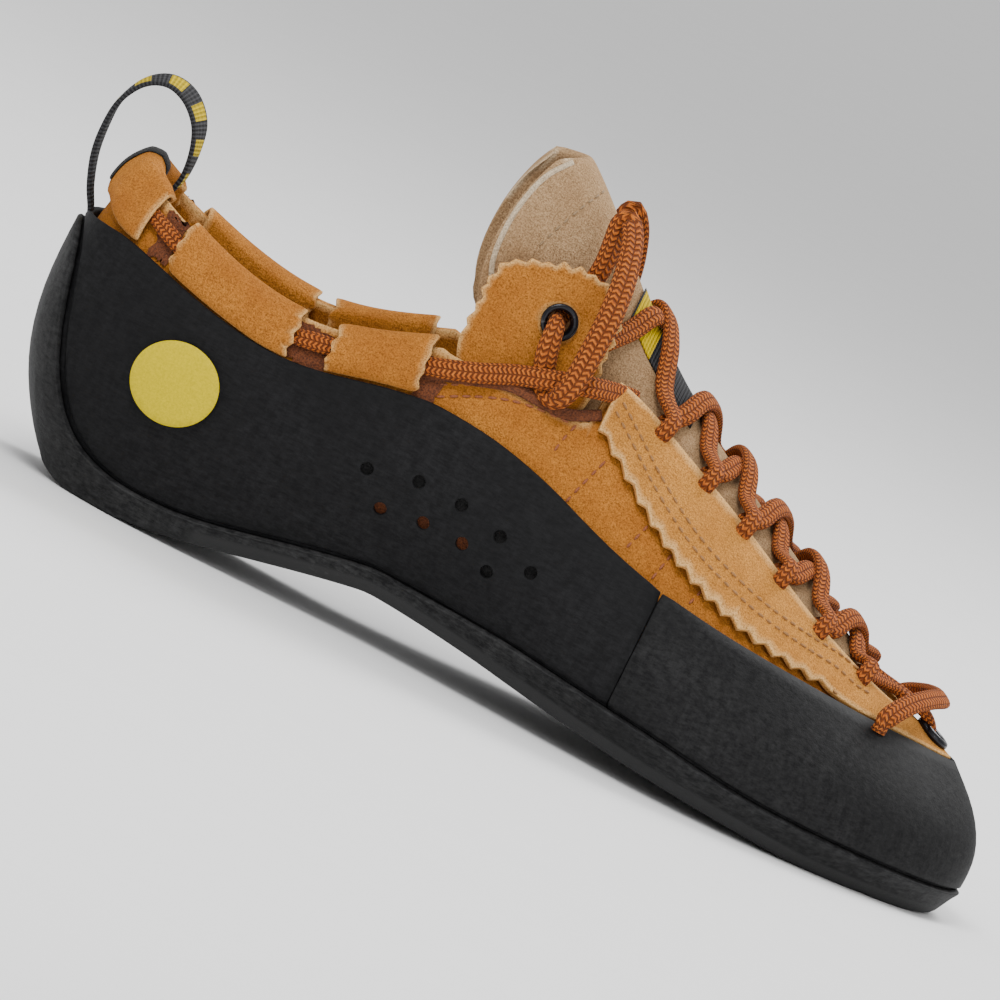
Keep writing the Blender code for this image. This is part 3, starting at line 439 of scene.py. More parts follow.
UPPER = refine("upper", "upper_suede", TAN)
EYESTAY = refine("eyestay", "eyestay_suede", PALE, crease=0.9)
TONGUE = refine("tongue", "tongue_suede", BEIGE, levels=3, crease=0.3, sharp=60)
INSOLE = refine("insole", "insole_board", FELT)
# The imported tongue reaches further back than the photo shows, so its rear above the tabs is drawn in.
TONGUE_REAR = 0.056
TONGUE_PULL = 0.45
for vert in TONGUE.data.vertices:
    behind = max(0.0, TONGUE_REAR - vert.co.x)
    vert.co.x += behind * TONGUE_PULL * min(1.0, max(0.0, (vert.co.z - 0.072) / 0.010))
mark_rims(UPPER, 1.2)
mark_rims(EYESTAY, 0.9)
mark_rims(TONGUE, 1.4, turn=30)
print("refined shells:", *(len(o.data.polygons) for o in (UPPER, EYESTAY, TONGUE, INSOLE)))

# %% [markdown]
# Later pieces have to lie on these skins. A ray shot from one side of the shoe finds where a point of
# the side view meets the skin, and the way the skin faces there. A seat puts a round tool square to it.

# %% Helpers that place things on a skin
def tree_of(*pieces):
    """Search tree over the skins of some pieces."""
    points = []
    faces = []
    for piece in pieces:
        start = len(points)
        points += [v.co.copy() for v in piece.data.vertices]
        faces += [tuple(start + i for i in face.vertices) for face in piece.data.polygons]
    return BVHTree.FromPolygons(points, faces)


def from_side(tree, x, z, side):
    """Where the skin is at a place of the side view, in mm, and which way it faces."""
    start = Vector((x * MM, side * 0.09, z * MM))
    place, facing, _, _ = tree.ray_cast(start, Vector((0, -side, 0)))
    if place is None:
        place, facing, _, _ = tree.find_nearest(Vector((x * MM, side * 0.03, z * MM)))
    if facing.y * side < 0:
        facing = -facing
    return place, facing


def from_above(tree, x, y):
    """Where the skin is under a place seen from above, in mm, and which way it faces."""
    return tree.ray_cast(Vector((x * MM, y * MM, 0.2)), Vector((0, 0, -1)))[:2]


def seat(place, facing):
    """Transform that stands a piece made round Z on a place, along its facing."""
    return Matrix.Translation(place) @ facing.to_track_quat("Z", "Y").to_matrix().to_4x4()


BARE_SKIN = tree_of(UPPER)
print("side view of the upper at 95, 50 mm:", from_side(BARE_SKIN, 95, 50, LATERAL)[0])

# %% [markdown]
# The rubber is three parts: the sole with its strip up the heel, the band round the foot, and the toe
# band that laps over it at a seam on each side. All three are refined in the same way.

# %% Rubber parts
SOLE = refine("outsole", "sole_rubber", SOLE_RUBBER, crease=0.7)
BAND = refine("rear_rand", "rand_rubber", RAND_RUBBER, crease=0.85)
TOE = refine("toe_rand", "toe_rubber", TOE_RUBBER, crease=0.85)
EDGE_LIGHT_HEIGHT = 3.4  # of the painted light band over the tread, in mm
# The sole's outer faces up to that height over the tread get rim, which paints them greyer as reflected light.
edge_light_layer = SOLE.data.attributes.new("rim", "FLOAT", "POINT")
tread = tree_of(SOLE)
for vert, value in zip(SOLE.data.vertices, edge_light_layer.data):
    under = tread.ray_cast(Vector((vert.co.x * 0.97 + 0.002, vert.co.y * 0.88, -0.02)), Vector((0, 0, 1)))[0]
    base = under.z if under else 0.0
    height = (vert.co.z - base) / MM
    outward = vert.normal.z < 0.35
    value.value = float(outward) * min(1.0, max(0.0, (EDGE_LIGHT_HEIGHT - height) * 1.5)) * (vert.co.x > 0.02)
# The toe band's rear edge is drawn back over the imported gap, so that the seam closes.
SEAM_X = 0.1262
SEAM_GAP = 0.36
for vert in TOE.data.vertices:
    near = min(1.0, max(0.0, (SEAM_X - vert.co.x) / 0.003))
    vert.co.x -= near * SEAM_GAP * MM
print("rubber:", *(len(o.data.polygons) for o in (SOLE, BAND, TOE)))

# %% [markdown]
# The outer side of the band has nine small vent holes in two rows. They are drilled through the rubber
# only, and cutting them for real makes their walls catch light. A disc of painted shade lies at the bottom
# of each: near-black, and in three of the lower row the dark red-brown of the recess shade, as in the photo.

# %% Vent holes
VENT_RADIUS = 1.55
VENTS = (
    # x, z of each hole in mm
    (49.5, 37.3), (61.3, 40.1), (72.2, 39.9), (83.2, 37.6), (93.0, 33.6),
    (56.2, 30.4), (66.3, 32.1), (76.2, 32.1), (84.0, 29.1),
)
RED_VENTS = (5, 6, 7)


def drill(piece, places, radius, side):
    """Cut round holes square to the skin of a piece."""
    skin = tree_of(piece)
    tool = bmesh.new()
    for x, z in places:
        place, facing = from_side(skin, x, z, side)
        bmesh.ops.create_cone(tool, cap_ends=True, segments=28, radius1=radius * MM, radius2=radius * MM,
                              depth=6 * MM, matrix=seat(place, facing))
    drills = as_object(tool, "drills")
    cut = piece.modifiers.new("vents", "BOOLEAN")
    cut.operation = "DIFFERENCE"
    cut.solver = "EXACT"
    cut.object = drills
    apply_modifier(piece, 35)
    bpy.data.objects.remove(drills)


drill(BAND, VENTS, VENT_RADIUS, LATERAL)
# Discs of painted shade at the bottom of the holes: near-black felt, with the red-brown recess shade in three.
form = bmesh.new()
for x, z in VENTS:
    place, facing = from_side(BARE_SKIN, x, z, LATERAL)
    bmesh.ops.create_circle(form, cap_ends=True, segments=20, radius=(VENT_RADIUS + 0.2) * MM,
                            matrix=seat(place + facing * 0.12 * MM, facing))
VENT_SHADE = finish_mesh(form, "vent_painted_shade", BLACK_FELT_AND_SHADE)
VENT_SHADE.data.materials.append(RECESS_SHADE)
for face in VENT_SHADE.data.polygons:
    face.material_index = int(face.index in RED_VENTS)
print("band with vents:", len(BAND.data.polygons), "faces")

# %% [markdown]
# The collar is not one roll. It is five separate flaps of suede folded over the upper's edge, with
# gaps between them where the lace in the tunnel shows. Each flap is refined from its imported part, its
# ends are pinked, and listed dents and swellings keep it from looking moulded. The near-black band
# over the heel is drawn onto the flap under it.

# %% Collar folds and the near-black band over the heel
FOLDS = [refine(node, f"{node}_suede", TAN, crease=0.35) for node in (
    "collar_heel", "collar_lateral_rear", "collar_lateral_front", "collar_medial_rear", "collar_medial_front")]
HEEL_FOLD = FOLDS[0]


def pink_ends(piece, low_x, high_x, depth=1.1, pitch=3.8):
    """Short teeth along the ends of a flap, by height. An end given as None is left alone."""
    for vert in piece.data.vertices:
        wave = abs((vert.co.z / MM / pitch) % 1 * 2 - 1) * depth * MM
        if high_x is not None:
            vert.co.x -= wave * max(0.0, 1 - (high_x * MM - vert.co.x) / (2.6 * MM))
        if low_x is not None:
            vert.co.x += wave * max(0.0, 1 - (vert.co.x - low_x * MM) / (2.6 * MM))


for piece in FOLDS:
    reach = [vert.co.x / MM for vert in piece.data.vertices]
    pink_ends(piece, None if piece is HEEL_FOLD else min(reach), max(reach))
    mark_rims(piece, 1.0)
    print(piece.name, "from", round(min(reach), 1), "to", round(max(reach), 1), "mm")

PRESSES = (
    # flap, x, side, z, radius and depth in mm, where a positive depth swells outwards
    (0, -24.0, LATERAL, 71.0, 3.4, -0.7), (0, -19.0, LATERAL, 68.0, 4.0, 0.6), (0, -29.0, LATERAL, 66.0, 4.0, 0.5),
    (1, -6.0, LATERAL, 61.0, 4.5, 0.6), (1, 2.0, LATERAL, 58.0, 3.0, -0.6), (1, 10.0, LATERAL, 59.0, 5.0, 0.5),
    (1, 17.5, LATERAL, 56.0, 3.0, -0.6), (2, 34.0, LATERAL, 60.0, 4.0, 0.5), (2, 41.0, LATERAL, 60.0, 2.8, -0.7),
    (2, 47.0, LATERAL, 64.0, 4.0, 0.5), (3, 0.0, MEDIAL, 60.0, 4.0, -0.6), (3, 12.0, MEDIAL, 58.0, 4.5, 0.6),
    (4, 36.0, MEDIAL, 61.0, 3.4, -0.6),
)
for index, x, side, z, radius, depth in PRESSES:
    place, facing = from_side(tree_of(FOLDS[index]), x, z, side)
    for vert in FOLDS[index].data.vertices:
        far = (vert.co - place).length / (radius * MM)
        vert.co += facing * depth * MM * math.exp(-far * far * 1.5)

# A near-black band is laid over the top edge of the heel fold and drawn onto it.
TAPE = refine("heel_tape", "heel_black_band", BLACK_FELT_AND_SHADE, crease=0.4)
lobe = tree_of(HEEL_FOLD)
for vert in TAPE.data.vertices:
    place, facing, _, far = lobe.find_nearest(vert.co)
    if far < 4.5 * MM:
        vert.co = place + (vert.co - place).normalized() * min(far * 0.25, 0.7 * MM)
print("folds:", len(FOLDS))

# %% [markdown]
# The tabs that carry the top eyelets are cut with pinking shears. Points near the rim of the refined tab
# are pulled inwards in short even teeth, and the pull fades to nothing 3 mm inside the rim.

# %% Eyelet tabs
TOOTH_PITCH = 3.9
TOOTH_DEPTH = 1.15


def pinked_tab(side):
    """Tab with short teeth round its upper rim."""
    node = f"tab_{SIDES[side]}"
    piece = refine(node, f"{node}_suede", TAN, levels=3, crease=0.95, sharp=66)
    low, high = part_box(f"eyelet_{SIDES[side]}")
    centre = (low + high) / 2
    points = [(v.co.x - centre.x, v.co.z - centre.z) for v in piece.data.vertices]
    angles = np.arctan2([z for _, z in points], [x for x, _ in points])
    reach = np.hypot([x for x, _ in points], [z for _, z in points])
    order = np.linspace(-math.pi, math.pi, 145)
    rim = np.array([reach[np.abs(np.angle(np.exp(1j * (angles - a)))) < 0.07].max() for a in order])
    steps = np.hypot(np.gradient(rim), rim * np.gradient(order))
    run = np.cumsum(steps) / MM
    teeth = round(run[-1] / TOOTH_PITCH)
    for vert, angle, out in zip(piece.data.vertices, angles, reach):
        edge = np.interp(angle, order, rim)
        place = np.interp(angle, order, run) / run[-1] * teeth
        wave = abs((place % 1) * 2 - 1)
        near = max(0.0, 1 - (edge - out) / (3 * MM)) * (math.sin(angle) > -0.55)
        pull = wave * TOOTH_DEPTH * MM * near
        vert.co.x -= math.cos(angle) * pull
        vert.co.z -= math.sin(angle) * pull
    mark_rims(piece, 1.1)
    return piece


TABS = {side: pinked_tab(side) for side in (LATERAL, MEDIAL)}
print("tabs:", *(len(tab.data.polygons) for tab in TABS.values()))

# %% [markdown]
# Eyelets are pressed from sheet and rolled over, so their rim is a smooth ring. The one at the toe is
# seated flat on the suede and is made by spinning a small circle. The printed disc is thin and follows
# the rubber under it.

# %% Eyelets and disc
for side in (LATERAL, MEDIAL):
    node = f"eyelet_{SIDES[side]}"
    refine(node, f"{node}_ring", ENAMEL, crease=0.15)
RING_SPOT = (191.5, 12.0)
RING_PLACE, RING_FACING = from_above(tree_of(EYESTAY, TOE), *RING_SPOT)
form = bmesh.new()
bmesh.ops.create_circle(form, segments=12, radius=1.05 * MM,
                        matrix=Matrix.Translation((3.65 * MM, 0, 0)) @ Matrix.Rotation(math.pi / 2, 4, "X"))
bmesh.ops.spin(form, geom=form.verts[:] + form.edges[:], cent=(0, 0, 0), axis=(0, 0, 1), dvec=(0, 0, 0),
               angle=2 * math.pi, steps=40, use_merge=True, use_duplicate=False)
bmesh.ops.recalc_face_normals(form, faces=form.faces)
bmesh.ops.transform(form, matrix=seat(RING_PLACE + RING_FACING * 0.35 * MM, RING_FACING), verts=form.verts)
finish_mesh(form, "eyelet_toe_ring", ENAMEL, "eyelet_toe")
refine("badge", "disc_badge", PRINT, crease=0.8)
print("rings and disc ready")

# %% [markdown]
# Laces, webbing and label are long strips. Each starts as a flat grid, which the grid operator also
# gives a map; the grid is then rolled round the line that the strip follows and its seam is welded.
# A width and a thickness shape the section, and a facing at each point keeps the flat side outwards.

# %% A helper that sweeps a strip
def run_along(line):
    """Distance from the start to each point of a line."""
    return np.concatenate(([0], np.cumsum(np.linalg.norm(np.diff(line, axis=0), axis=1))))


def smooth_line(points, step):
    """Evenly spaced points on a smooth curve through given ones, in metres."""
    points = np.asarray(points, float)
    padded = np.concatenate((2 * points[:1] - points[1:2], points, 2 * points[-1:] - points[-2:-1]))
    dense = []
    for i in range(len(points) - 1):
        a, b, c, d = padded[i:i + 4]
        for t in np.arange(0, 1, 0.05):
            dense.append(0.5 * (2 * b + (c - a) * t + (2 * a - 5 * b + 4 * c - d) * t * t
                                + (3 * b - a - 3 * c + d) * t ** 3))
    dense = np.array(dense + [points[-1]])
    run = run_along(dense[:, :3])
    count = max(int(run[-1] / step), 8)
    even = np.linspace(0, run[-1], count)
    return np.stack([np.interp(even, run, dense[:, k]) for k in range(dense.shape[1])], axis=1)


def swept(name, line, facing, widths, thick, material, node=None, around=16, power=0.8):
    """Strip rolled from a grid round a line, with its flat side square to the facing."""
    along = np.gradient(line, axis=0)
    along /= np.linalg.norm(along, axis=1, keepdims=True)
    across = np.cross(along, facing)
    across /= np.linalg.norm(across, axis=1, keepdims=True)
    up = np.cross(across, along)
    widths = np.broadcast_to(widths, (len(line),))
    run = run_along(line)
    form = bmesh.new()
    layer = form.loops.layers.uv.new("UVMap")
    bmesh.ops.create_grid(form, x_segments=around, y_segments=len(line) - 1, size=0.5, calc_uvs=True)
    for vert in form.verts:
        turn = (vert.co.x + 0.5) * 2 * math.pi
        i = int(round((vert.co.y + 0.5) * (len(line) - 1)))
        side = math.copysign(abs(math.cos(turn)) ** power, math.cos(turn)) * widths[i] / 2
        rise = math.copysign(abs(math.sin(turn)) ** power, math.sin(turn)) * thick / 2
        vert.co = Vector(line[i] + across[i] * side + up[i] * rise)
    for face in form.faces:
        for loop in face.loops:
            spot = loop[layer].uv
            spot.y = spot.y * run[-1] / widths.max()
    bmesh.ops.remove_doubles(form, verts=form.verts, dist=1e-6)
    rims = [edge for edge in form.edges if edge.is_boundary]
    bmesh.ops.holes_fill(form, edges=rims, sides=0)
    bmesh.ops.recalc_face_normals(form, faces=form.faces)
    return finish_mesh(form, name, material, node), run[-1]


print("strip helper ready")

# %% [markdown]
# The lace runs in two halves that zigzag over the tongue. At each turn a half comes over the edge of
# the eyestay, dives through it and comes back from underneath, which is what makes the small bights
# along the edge. Between turns it lies on the tongue; where two halves cross, one rides on the other.

# %% Lace turns
LACE_WIDTH = 4.9
LACE_THICK = 2.4
LACE_CLEAR = 0.25
TURN_WIDTH = 4.1
TURNS = {
    # x, y, z in mm of the eyestay's edge at each turn, from the ankle to the toes
    LATERAL: ((105.4, -17.1, 74.5), (119.3, -16.0, 68.4), (131.6, -15.1, 62.8), (144.1, -13.6, 56.4),
              (157.4, -10.5, 49.8), (170.9, -4.5, 44.0)),
    MEDIAL: ((105.2, 19.8, 74.5), (119.2, 20.4, 68.3), (131.4, 21.2, 62.8), (143.9, 21.9, 56.4),
             (157.2, 21.9, 49.9), (170.7, 20.5, 44.2)),
}
OVER = tree_of(UPPER, EYESTAY, TONGUE)
THROAT_AXIS = np.array((0.50, 0.0, 0.87))


def turn_frame(side, index):
    """Edge point of a turn, the way down the eyestay and the way out of it."""
    edge = np.array(TURNS[side][index])
    down = np.array((0.0, side * 0.74, -0.67)) if index < 4 else np.array((0.0, side * 0.86, -0.5))
    out = np.array((0.35, side * 0.62, 0.70))
    out -= down * out.dot(down)
    return edge, down, out / np.linalg.norm(out)


def dive(side, index, flip):
    """Points of one turn, with the lace's facing: over the edge, through the suede and back under it."""
    edge, down, out = turn_frame(side, index)
    steps = ((-2.5, 1.9, 0), (0.4, 1.7, 25), (2.0, 0.5, 75), (2.0, -1.6, 115), (0.2, -3.0, 150), (-2.8, -2.2, 180))
    rows = []
    for down_by, out_by, degrees in steps:
        angle = math.radians(degrees)
        place = edge + down * down_by + out * out_by
        facing = flip * (math.cos(angle) * out + math.sin(angle) * down)
        rows.append((*place, *facing, TURN_WIDTH))
    return rows


def across(start, stop, lift, flip):
    """Points of one crossing over the tongue between two places, in mm."""
    rows = []
    for t in (0.2, 0.35, 0.5, 0.65, 0.8):
        flat = np.array(start) * (1 - t) + np.array(stop) * t
        top, facing = from_above(OVER, flat[0], flat[1])
        bulge = math.sin(math.pi * t) ** 2
        z = top.z / MM + (LACE_THICK / 2 + LACE_CLEAR) / max(facing.z, 0.6) + lift * bulge
        rows.append((flat[0], flat[1], z, *(flip * THROAT_AXIS + (0, flip * facing.y, 0)), LACE_WIDTH))
    return rows


print("turns on each side:", len(TURNS[LATERAL]))

# %% [markdown]
# Each half starts hidden inside the tab at the ankle, crosses the tongue to the first turn on the other
# side, and after the last turn runs forward under the bar at the toe into the toe eyelet.

# %% The two halves of the lace
TAB_INSIDE = {LATERAL: (84.5, -16.8, 85.5), MEDIAL: (84.5, 16.8, 85.5)}
TOE_RING = tuple(RING_PLACE / MM)


def half_lace(name, first_side, lift, node):
    """One half of the lace from the ankle to the toe eyelet."""
    side = first_side
    flip = 1
    start = TAB_INSIDE[-side]
    rows = [(*start, 0.2, -side * 0.9, 0.4, 4.2)]
    rows += across(start, TURNS[side][0], lift, flip)
    for index in range(len(TURNS[side])):
        rows += dive(side, index, flip)
        flip = -flip
        if index + 1 < len(TURNS[side]):
            rows += across(TURNS[side][index], TURNS[-side][index + 1], lift, flip)
            side = -side
    x, y, z = TOE_RING
    for dx, dy, dz in ((-14.0, side * 3.6, 6.0), (-8.0, side * 2.4, 5.0), (-3.4, side * 1.3, 3.6),
                       (-0.8, side * 0.8, 1.4), (0.0, side * 0.6, -1.4)):
        rows.append((x + dx, y + dy, z + dz, *(flip * np.array((0.55, 0, 0.83))), 3.8))
    rows = smooth_line(np.array(rows) * ([MM] * 3 + [1] * 3 + [MM]), 0.9 * MM)
    _, length = swept(name, rows[:, :3], rows[:, 3:6], rows[:, 6], LACE_THICK * MM, RUST, node)
    print(name, "length in mm:", round(length / MM))


half_lace("lace_half_over", LATERAL, 2.7, "lace_over")
half_lace("lace_half_under", MEDIAL, 0.2, "lace_under")

# %% [markdown]
# At the toe the lace makes a short bar over the front of the eyestay, just behind the toe eyelet. Its
# ends go down towards the seam between suede and rubber.

# %% Bar at the toe
BAR = (
    # x, y, z in mm across the toe
    (179.5, -11.8, 34.5), (180.3, -11.5, 38.5), (183.5, -6.0, 42.6), (187.2, 1.5, 44.9), (190.0, 10.5, 45.6),
    (187.4, 20.0, 44.6), (182.8, 28.0, 41.6), (180.0, 32.8, 37.6), (179.0, 33.0, 33.8),
)
line = smooth_line(np.array(BAR) * MM, 0.8 * MM)
facing = np.tile((0.5, 0, 0.86), (len(line), 1))
facing[:, 1] = (line[:, 1] - 0.010) * 16
swept("lace_toe_bar", line, facing, LACE_WIDTH * MM, LACE_THICK * MM, RUST, "lace_toe")
print("toe bar ready")

# %% [markdown]
# Behind the eyestay the same lace leaves the throat, passes outside each tab, and runs through the
# folds of the collar round the heel: pulling it closes the collar. In the gaps between folds it shows.
# Inside the folds it is squeezed flat.

# %% Lace round the collar
RUN = (
    # x, z in mm beside the tab and along the collar, distance from the suede in mm, width in mm
    (96.5, 77.6, -0.6, 4.6), (92.0, 76.9, 2.6, 4.9), (86.0, 75.6, 4.3, 4.9), (78.0, 73.4, 3.6, 4.9),
    (70.0, 70.8, 3.0, 4.9), (62.0, 67.6, 2.4, 4.8), (54.0, 64.8, 2.0, 4.6), (47.0, 62.2, 1.5, 4.0),
    (38.0, 59.2, 1.3, 3.8), (30.0, 57.4, 1.35, 4.2), (25.5, 56.6, 1.45, 4.4), (20.0, 56.0, 1.3, 3.8),
    (6.0, 57.4, 1.1, 3.6), (-8.0, 60.8, 1.1, 3.6), (-13.5, 62.8, 1.3, 4.0), (-20.0, 65.6, 1.0, 3.4),
)
COLLAR_FLAT = 1.9  # thickness of the lace in the tunnel


def collar_rows(side):
    """Rows of the collar lace on one side, from the throat to the heel's corner."""
    rows = []
    for x, z, away, width in RUN:
        place, facing = from_side(BARE_SKIN, x, z, side)
        if x > 50:
            # Beside the tab it hangs clear of the suede, and turns inwards at the throat.
            facing = Vector((0, side, 0.15)).normalized()
            beside = 26.2 - 0.288 * max(x - 78, 0) - (0 if x < 90 else 1.6)
            if x < 66:
                beside = max(beside, abs(from_side(BARE_SKIN, x, z - 4, side)[0].y) / MM + 0.7)
            place = Vector((x, side * beside, z)) * MM
            away -= 1.4 if x < 90 else 3.0
        rows.append((*(place + facing * away * MM), *facing, width * MM))
    return rows


around_heel = []
for degrees in (-60, -30, 0, 30, 60):
    aim = Vector((-math.cos(math.radians(degrees)), math.sin(math.radians(degrees)), 0))
    place, facing, _, _ = BARE_SKIN.ray_cast(Vector((-0.012, 0, 0.0675)) + aim * 0.06, -aim)
    facing = facing if facing.dot(aim) > 0 else -facing
    around_heel.append((*(place + facing * 0.9 * MM), *facing, 3.4 * MM))
rows = collar_rows(LATERAL) + around_heel + collar_rows(MEDIAL)[::-1]
rows = smooth_line(rows, 1.0 * MM)
COLLAR_LACE, COLLAR_LENGTH = swept("lace_round_collar", rows[:, :3], rows[:, 3:6], rows[:, 6],
                                   COLLAR_FLAT * MM, RUST, "lace_collar")
print("collar lace length in mm:", round(COLLAR_LENGTH / MM))

# %% [markdown]
# On each side the lace comes out of the tab's eyelet, drops behind the collar lace, turns under it and
# stands up in a tall loop in front of the tab, with its bight leaning on the tongue. The back of the
# loop goes down behind the tab to the eyelet. Its stiffness holds it up, so it is drawn nearly upright.

# %% Standing loops
LOOP = (
    # x, distance from the middle plane, z in mm, width in mm
    (73.6, 18.2, 88.6, 3.6), (72.9, 20.0, 86.2, 3.6), (72.8, 23.9, 85.4, 3.9), (73.1, 26.4, 82.6, 4.4),
    (73.8, 26.9, 78.5, 4.9), (75.2, 26.0, 74.2, 4.9), (77.6, 26.6, 70.6, 4.9), (80.6, 29.8, 70.8, 5.0),
    (82.2, 31.0, 75.0, 5.2), (82.7, 30.4, 83.0, 5.4), (82.8, 28.6, 91.5, 5.5), (82.2, 25.2, 99.0, 5.5),
    (80.9, 21.2, 105.0, 5.4), (79.2, 17.6, 109.8, 5.2), (77.0, 15.2, 112.6, 4.9), (75.4, 14.6, 111.0, 4.9),
    (75.8, 15.8, 106.6, 4.9), (76.2, 17.0, 102.0, 4.8), (75.8, 17.6, 97.5, 4.5), (74.6, 17.8, 93.0, 4.0),
)
LOOP_SPREAD = 1.08  # slack lace is a little wider
for side in (LATERAL, MEDIAL):
    rows = smooth_line([(x * MM, side * y * MM, z * MM, width * MM) for x, y, z, width in LOOP], 0.9 * MM)
    line = rows[:, :3]
    facing = np.tile((0.25, side * 1.0, 0.12), (len(line), 1))
    share = np.linspace(0, 1, len(line))[:, None]
    facing = facing + np.clip((share - 0.55) * 4, 0, 1) * np.array((0.35, 0, 0.05))
    node = f"lace_loop_{SIDES[side]}"
    piece, length = swept(f"{node}_braid", line, facing, rows[:, 3] * LOOP_SPREAD, LACE_THICK * MM, RUST,
                          node)
    print("standing loop", SIDES[side], "length in mm:", round(length / MM))

# %% [markdown]
# The pull loop is one strip of tape sewn in at the back of the heel and inside the collar. It leans
# and twists a little, because nothing holds it flat.

# %% Pull loop
PULL = (
    # x, y, z in mm from outside the heel over the top to inside the collar, twist in degrees
    (-32.6, 0.0, 55.4, 0), (-33.9, 0.0, 58.6, 0), (-36.2, 0.0, 63.0, 2), (-38.4, 0.1, 69.5, 4),
    (-39.2, 0.3, 76.0, 4), (-38.8, 0.5, 83.0, 0),
    (-35.6, 0.7, 89.2, -6), (-30.6, 0.8, 92.1, -14), (-25.0, 0.7, 91.0, -20), (-20.4, 0.5, 86.6, -18),
    (-18.4, 0.3, 80.5, -10), (-18.0, 0.0, 74.0, -4), (-19.4, 0.0, 69.0, 0),
)
rows = smooth_line(np.array(PULL) * (MM, MM, MM, 1), 0.9 * MM)
along = np.gradient(rows[:, :3], axis=0)
along /= np.linalg.norm(along, axis=1, keepdims=True)
facing = np.cross(along, (0, 1, 0))
facing += np.tan(np.radians(rows[:, 3]))[:, None] * np.array((0, 1, 0))
swept("pull_loop_tape", rows[:, :3], facing, 8.4 * MM, 1.25 * MM, LOOP_TAPE, "pull_loop",
      around=24, power=0.45)
print("pull loop ready")

# %% [markdown]
# Stitches are real thread: each is a short pill half sunk in the suede, a little uneven in length and
# angle. The eyestay has a double row above its pinked edge, the quarter has one along its top, and the
# side panel has short dashed seams where its pieces meet.

# %% Stitches
def stitch_row(form, tree, points, side, pitch=3.0, fill=0.68, radius=0.36):
    """Add a row of stitches along points of the side view, in mm."""
    places = smooth_line(np.array([(x, 0, z) for x, z in points], float), 0.25)
    spots = [from_side(tree, x, z, side) for x, _, z in places]
    run = run_along(np.array([place for place, _ in spots])) / MM
    count = int(run[-1] / pitch)
    for i in range(count):
        ends = []
        for share in (i, i + fill):
            index = int(np.searchsorted(run, share * pitch + random.uniform(-0.1, 0.1)))
            ends.append(spots[min(index, len(spots) - 1)])
        first, last = ends[0][0], ends[1][0]
        facing = ((ends[0][1] + ends[1][1]) / 2).normalized()
        ahead = last - first
        if ahead.length < 0.4 * MM:
            continue
        size = Matrix.Diagonal((radius * MM, radius * MM, ahead.length / 2, 1))
        middle = (first + last) / 2 + facing * radius * 0.35 * MM
        bmesh.ops.create_uvsphere(form, u_segments=8, v_segments=6, radius=1.0,
                                  matrix=seat(middle, ahead) @ size)


STAY_LOW = {
    # x, z in mm of the eyestay's lower stitch row
    LATERAL: ((93.4, 72.8), (101.0, 67.5), (108.3, 62.3), (115.4, 57.9), (122.2, 54.2), (129.0, 51.3),
              (135.9, 48.9), (143.0, 46.8), (150.1, 45.3), (157.2, 44.0), (164.1, 42.9), (170.6, 40.8),
              (175.7, 40.0)),
    MEDIAL: ((93.2, 72.8), (100.8, 67.4), (108.1, 62.2), (115.0, 57.9), (121.8, 54.2), (128.6, 51.4),
             (135.5, 48.9), (142.6, 46.9), (149.8, 45.4), (156.9, 44.2), (163.7, 43.0), (170.3, 40.9),
             (175.4, 40.1)),
}
STAY_SKIN = tree_of(EYESTAY)
STAY_ROWS = (0.6, 3.0)  # heights of the two rows over that line
for side in (LATERAL, MEDIAL):
    form = bmesh.new()
    for rise in STAY_ROWS:
        stitch_row(form, STAY_SKIN, [(x + rise * 0.2, z + rise) for x, z in STAY_LOW[side]], side, pitch=2.7)
    piece = finish_mesh(form, f"stitches_eyestay_{SIDES[side]}", BROWN_THREAD)
    print(piece.name, len(piece.data.polygons), "faces")

# %% [markdown]
# The panel's own seams use darker thread. Their places follow the photo on the outer side and are
# repeated on the inner side, which it doesn't show.

# %% Panel seams
SEAMS = (
    # polylines in x, z mm on the side panel
    ((55.0, 61.2), (62.0, 64.6), (70.0, 67.6), (78.0, 68.8), (86.0, 69.0)),
    ((56.0, 58.6), (63.0, 62.2), (71.0, 65.2), (79.0, 66.4), (87.0, 66.6)),
    ((87.0, 66.8), (85.6, 61.8), (85.0, 57.6)),
    ((96.6, 62.6), (94.2, 55.5), (92.4, 49.5)),
    ((111.8, 54.4), (110.0, 49.0), (108.6, 45.2)),
    ((119.4, 50.8), (118.4, 46.5), (117.6, 43.2)),
    ((129.2, 46.8), (128.2, 43.8), (127.6, 42.2)),
)
for side in (LATERAL, MEDIAL):
    form = bmesh.new()
    for seam in SEAMS:
        stitch_row(form, BARE_SKIN, seam, side, pitch=2.9, radius=0.34)
    piece = finish_mesh(form, f"stitches_panel_{SIDES[side]}", THREAD)
    print(piece.name, len(piece.data.polygons), "faces")

# %% [markdown]
# The label is a woven patch folded over the tongue's crest. It starts as a grid, which gives it a map;
# the grid is laid on the tongue by rays from above and given the thickness of cloth. Its rear part is
# yellow and the rest black. It carries no writing.

# %% Label
LABEL_FROM = 87.0
LABEL_TO = 110.5
LABEL_HALF = 8.0
TONGUE_SKIN = tree_of(TONGUE)
form = bmesh.new()
layer = form.loops.layers.uv.new("UVMap")
bmesh.ops.create_grid(form, x_segments=16, y_segments=24, size=0.5, calc_uvs=True)
for vert in form.verts:
    x = LABEL_FROM + (vert.co.y + 0.5) * (LABEL_TO - LABEL_FROM)
    y = vert.co.x * 2 * LABEL_HALF
    top = from_above(TONGUE_SKIN, x, y)[0]
    vert.co = top + Vector((0, 0, 0.35 * MM))
bmesh.ops.solidify(form, geom=form.faces[:], thickness=-0.7 * MM)
bmesh.ops.recalc_face_normals(form, faces=form.faces)
LABEL = finish_mesh(form, "label_cloth", LABEL_TAPE, "tongue_label")
print("label:", len(LABEL.data.polygons), "faces")

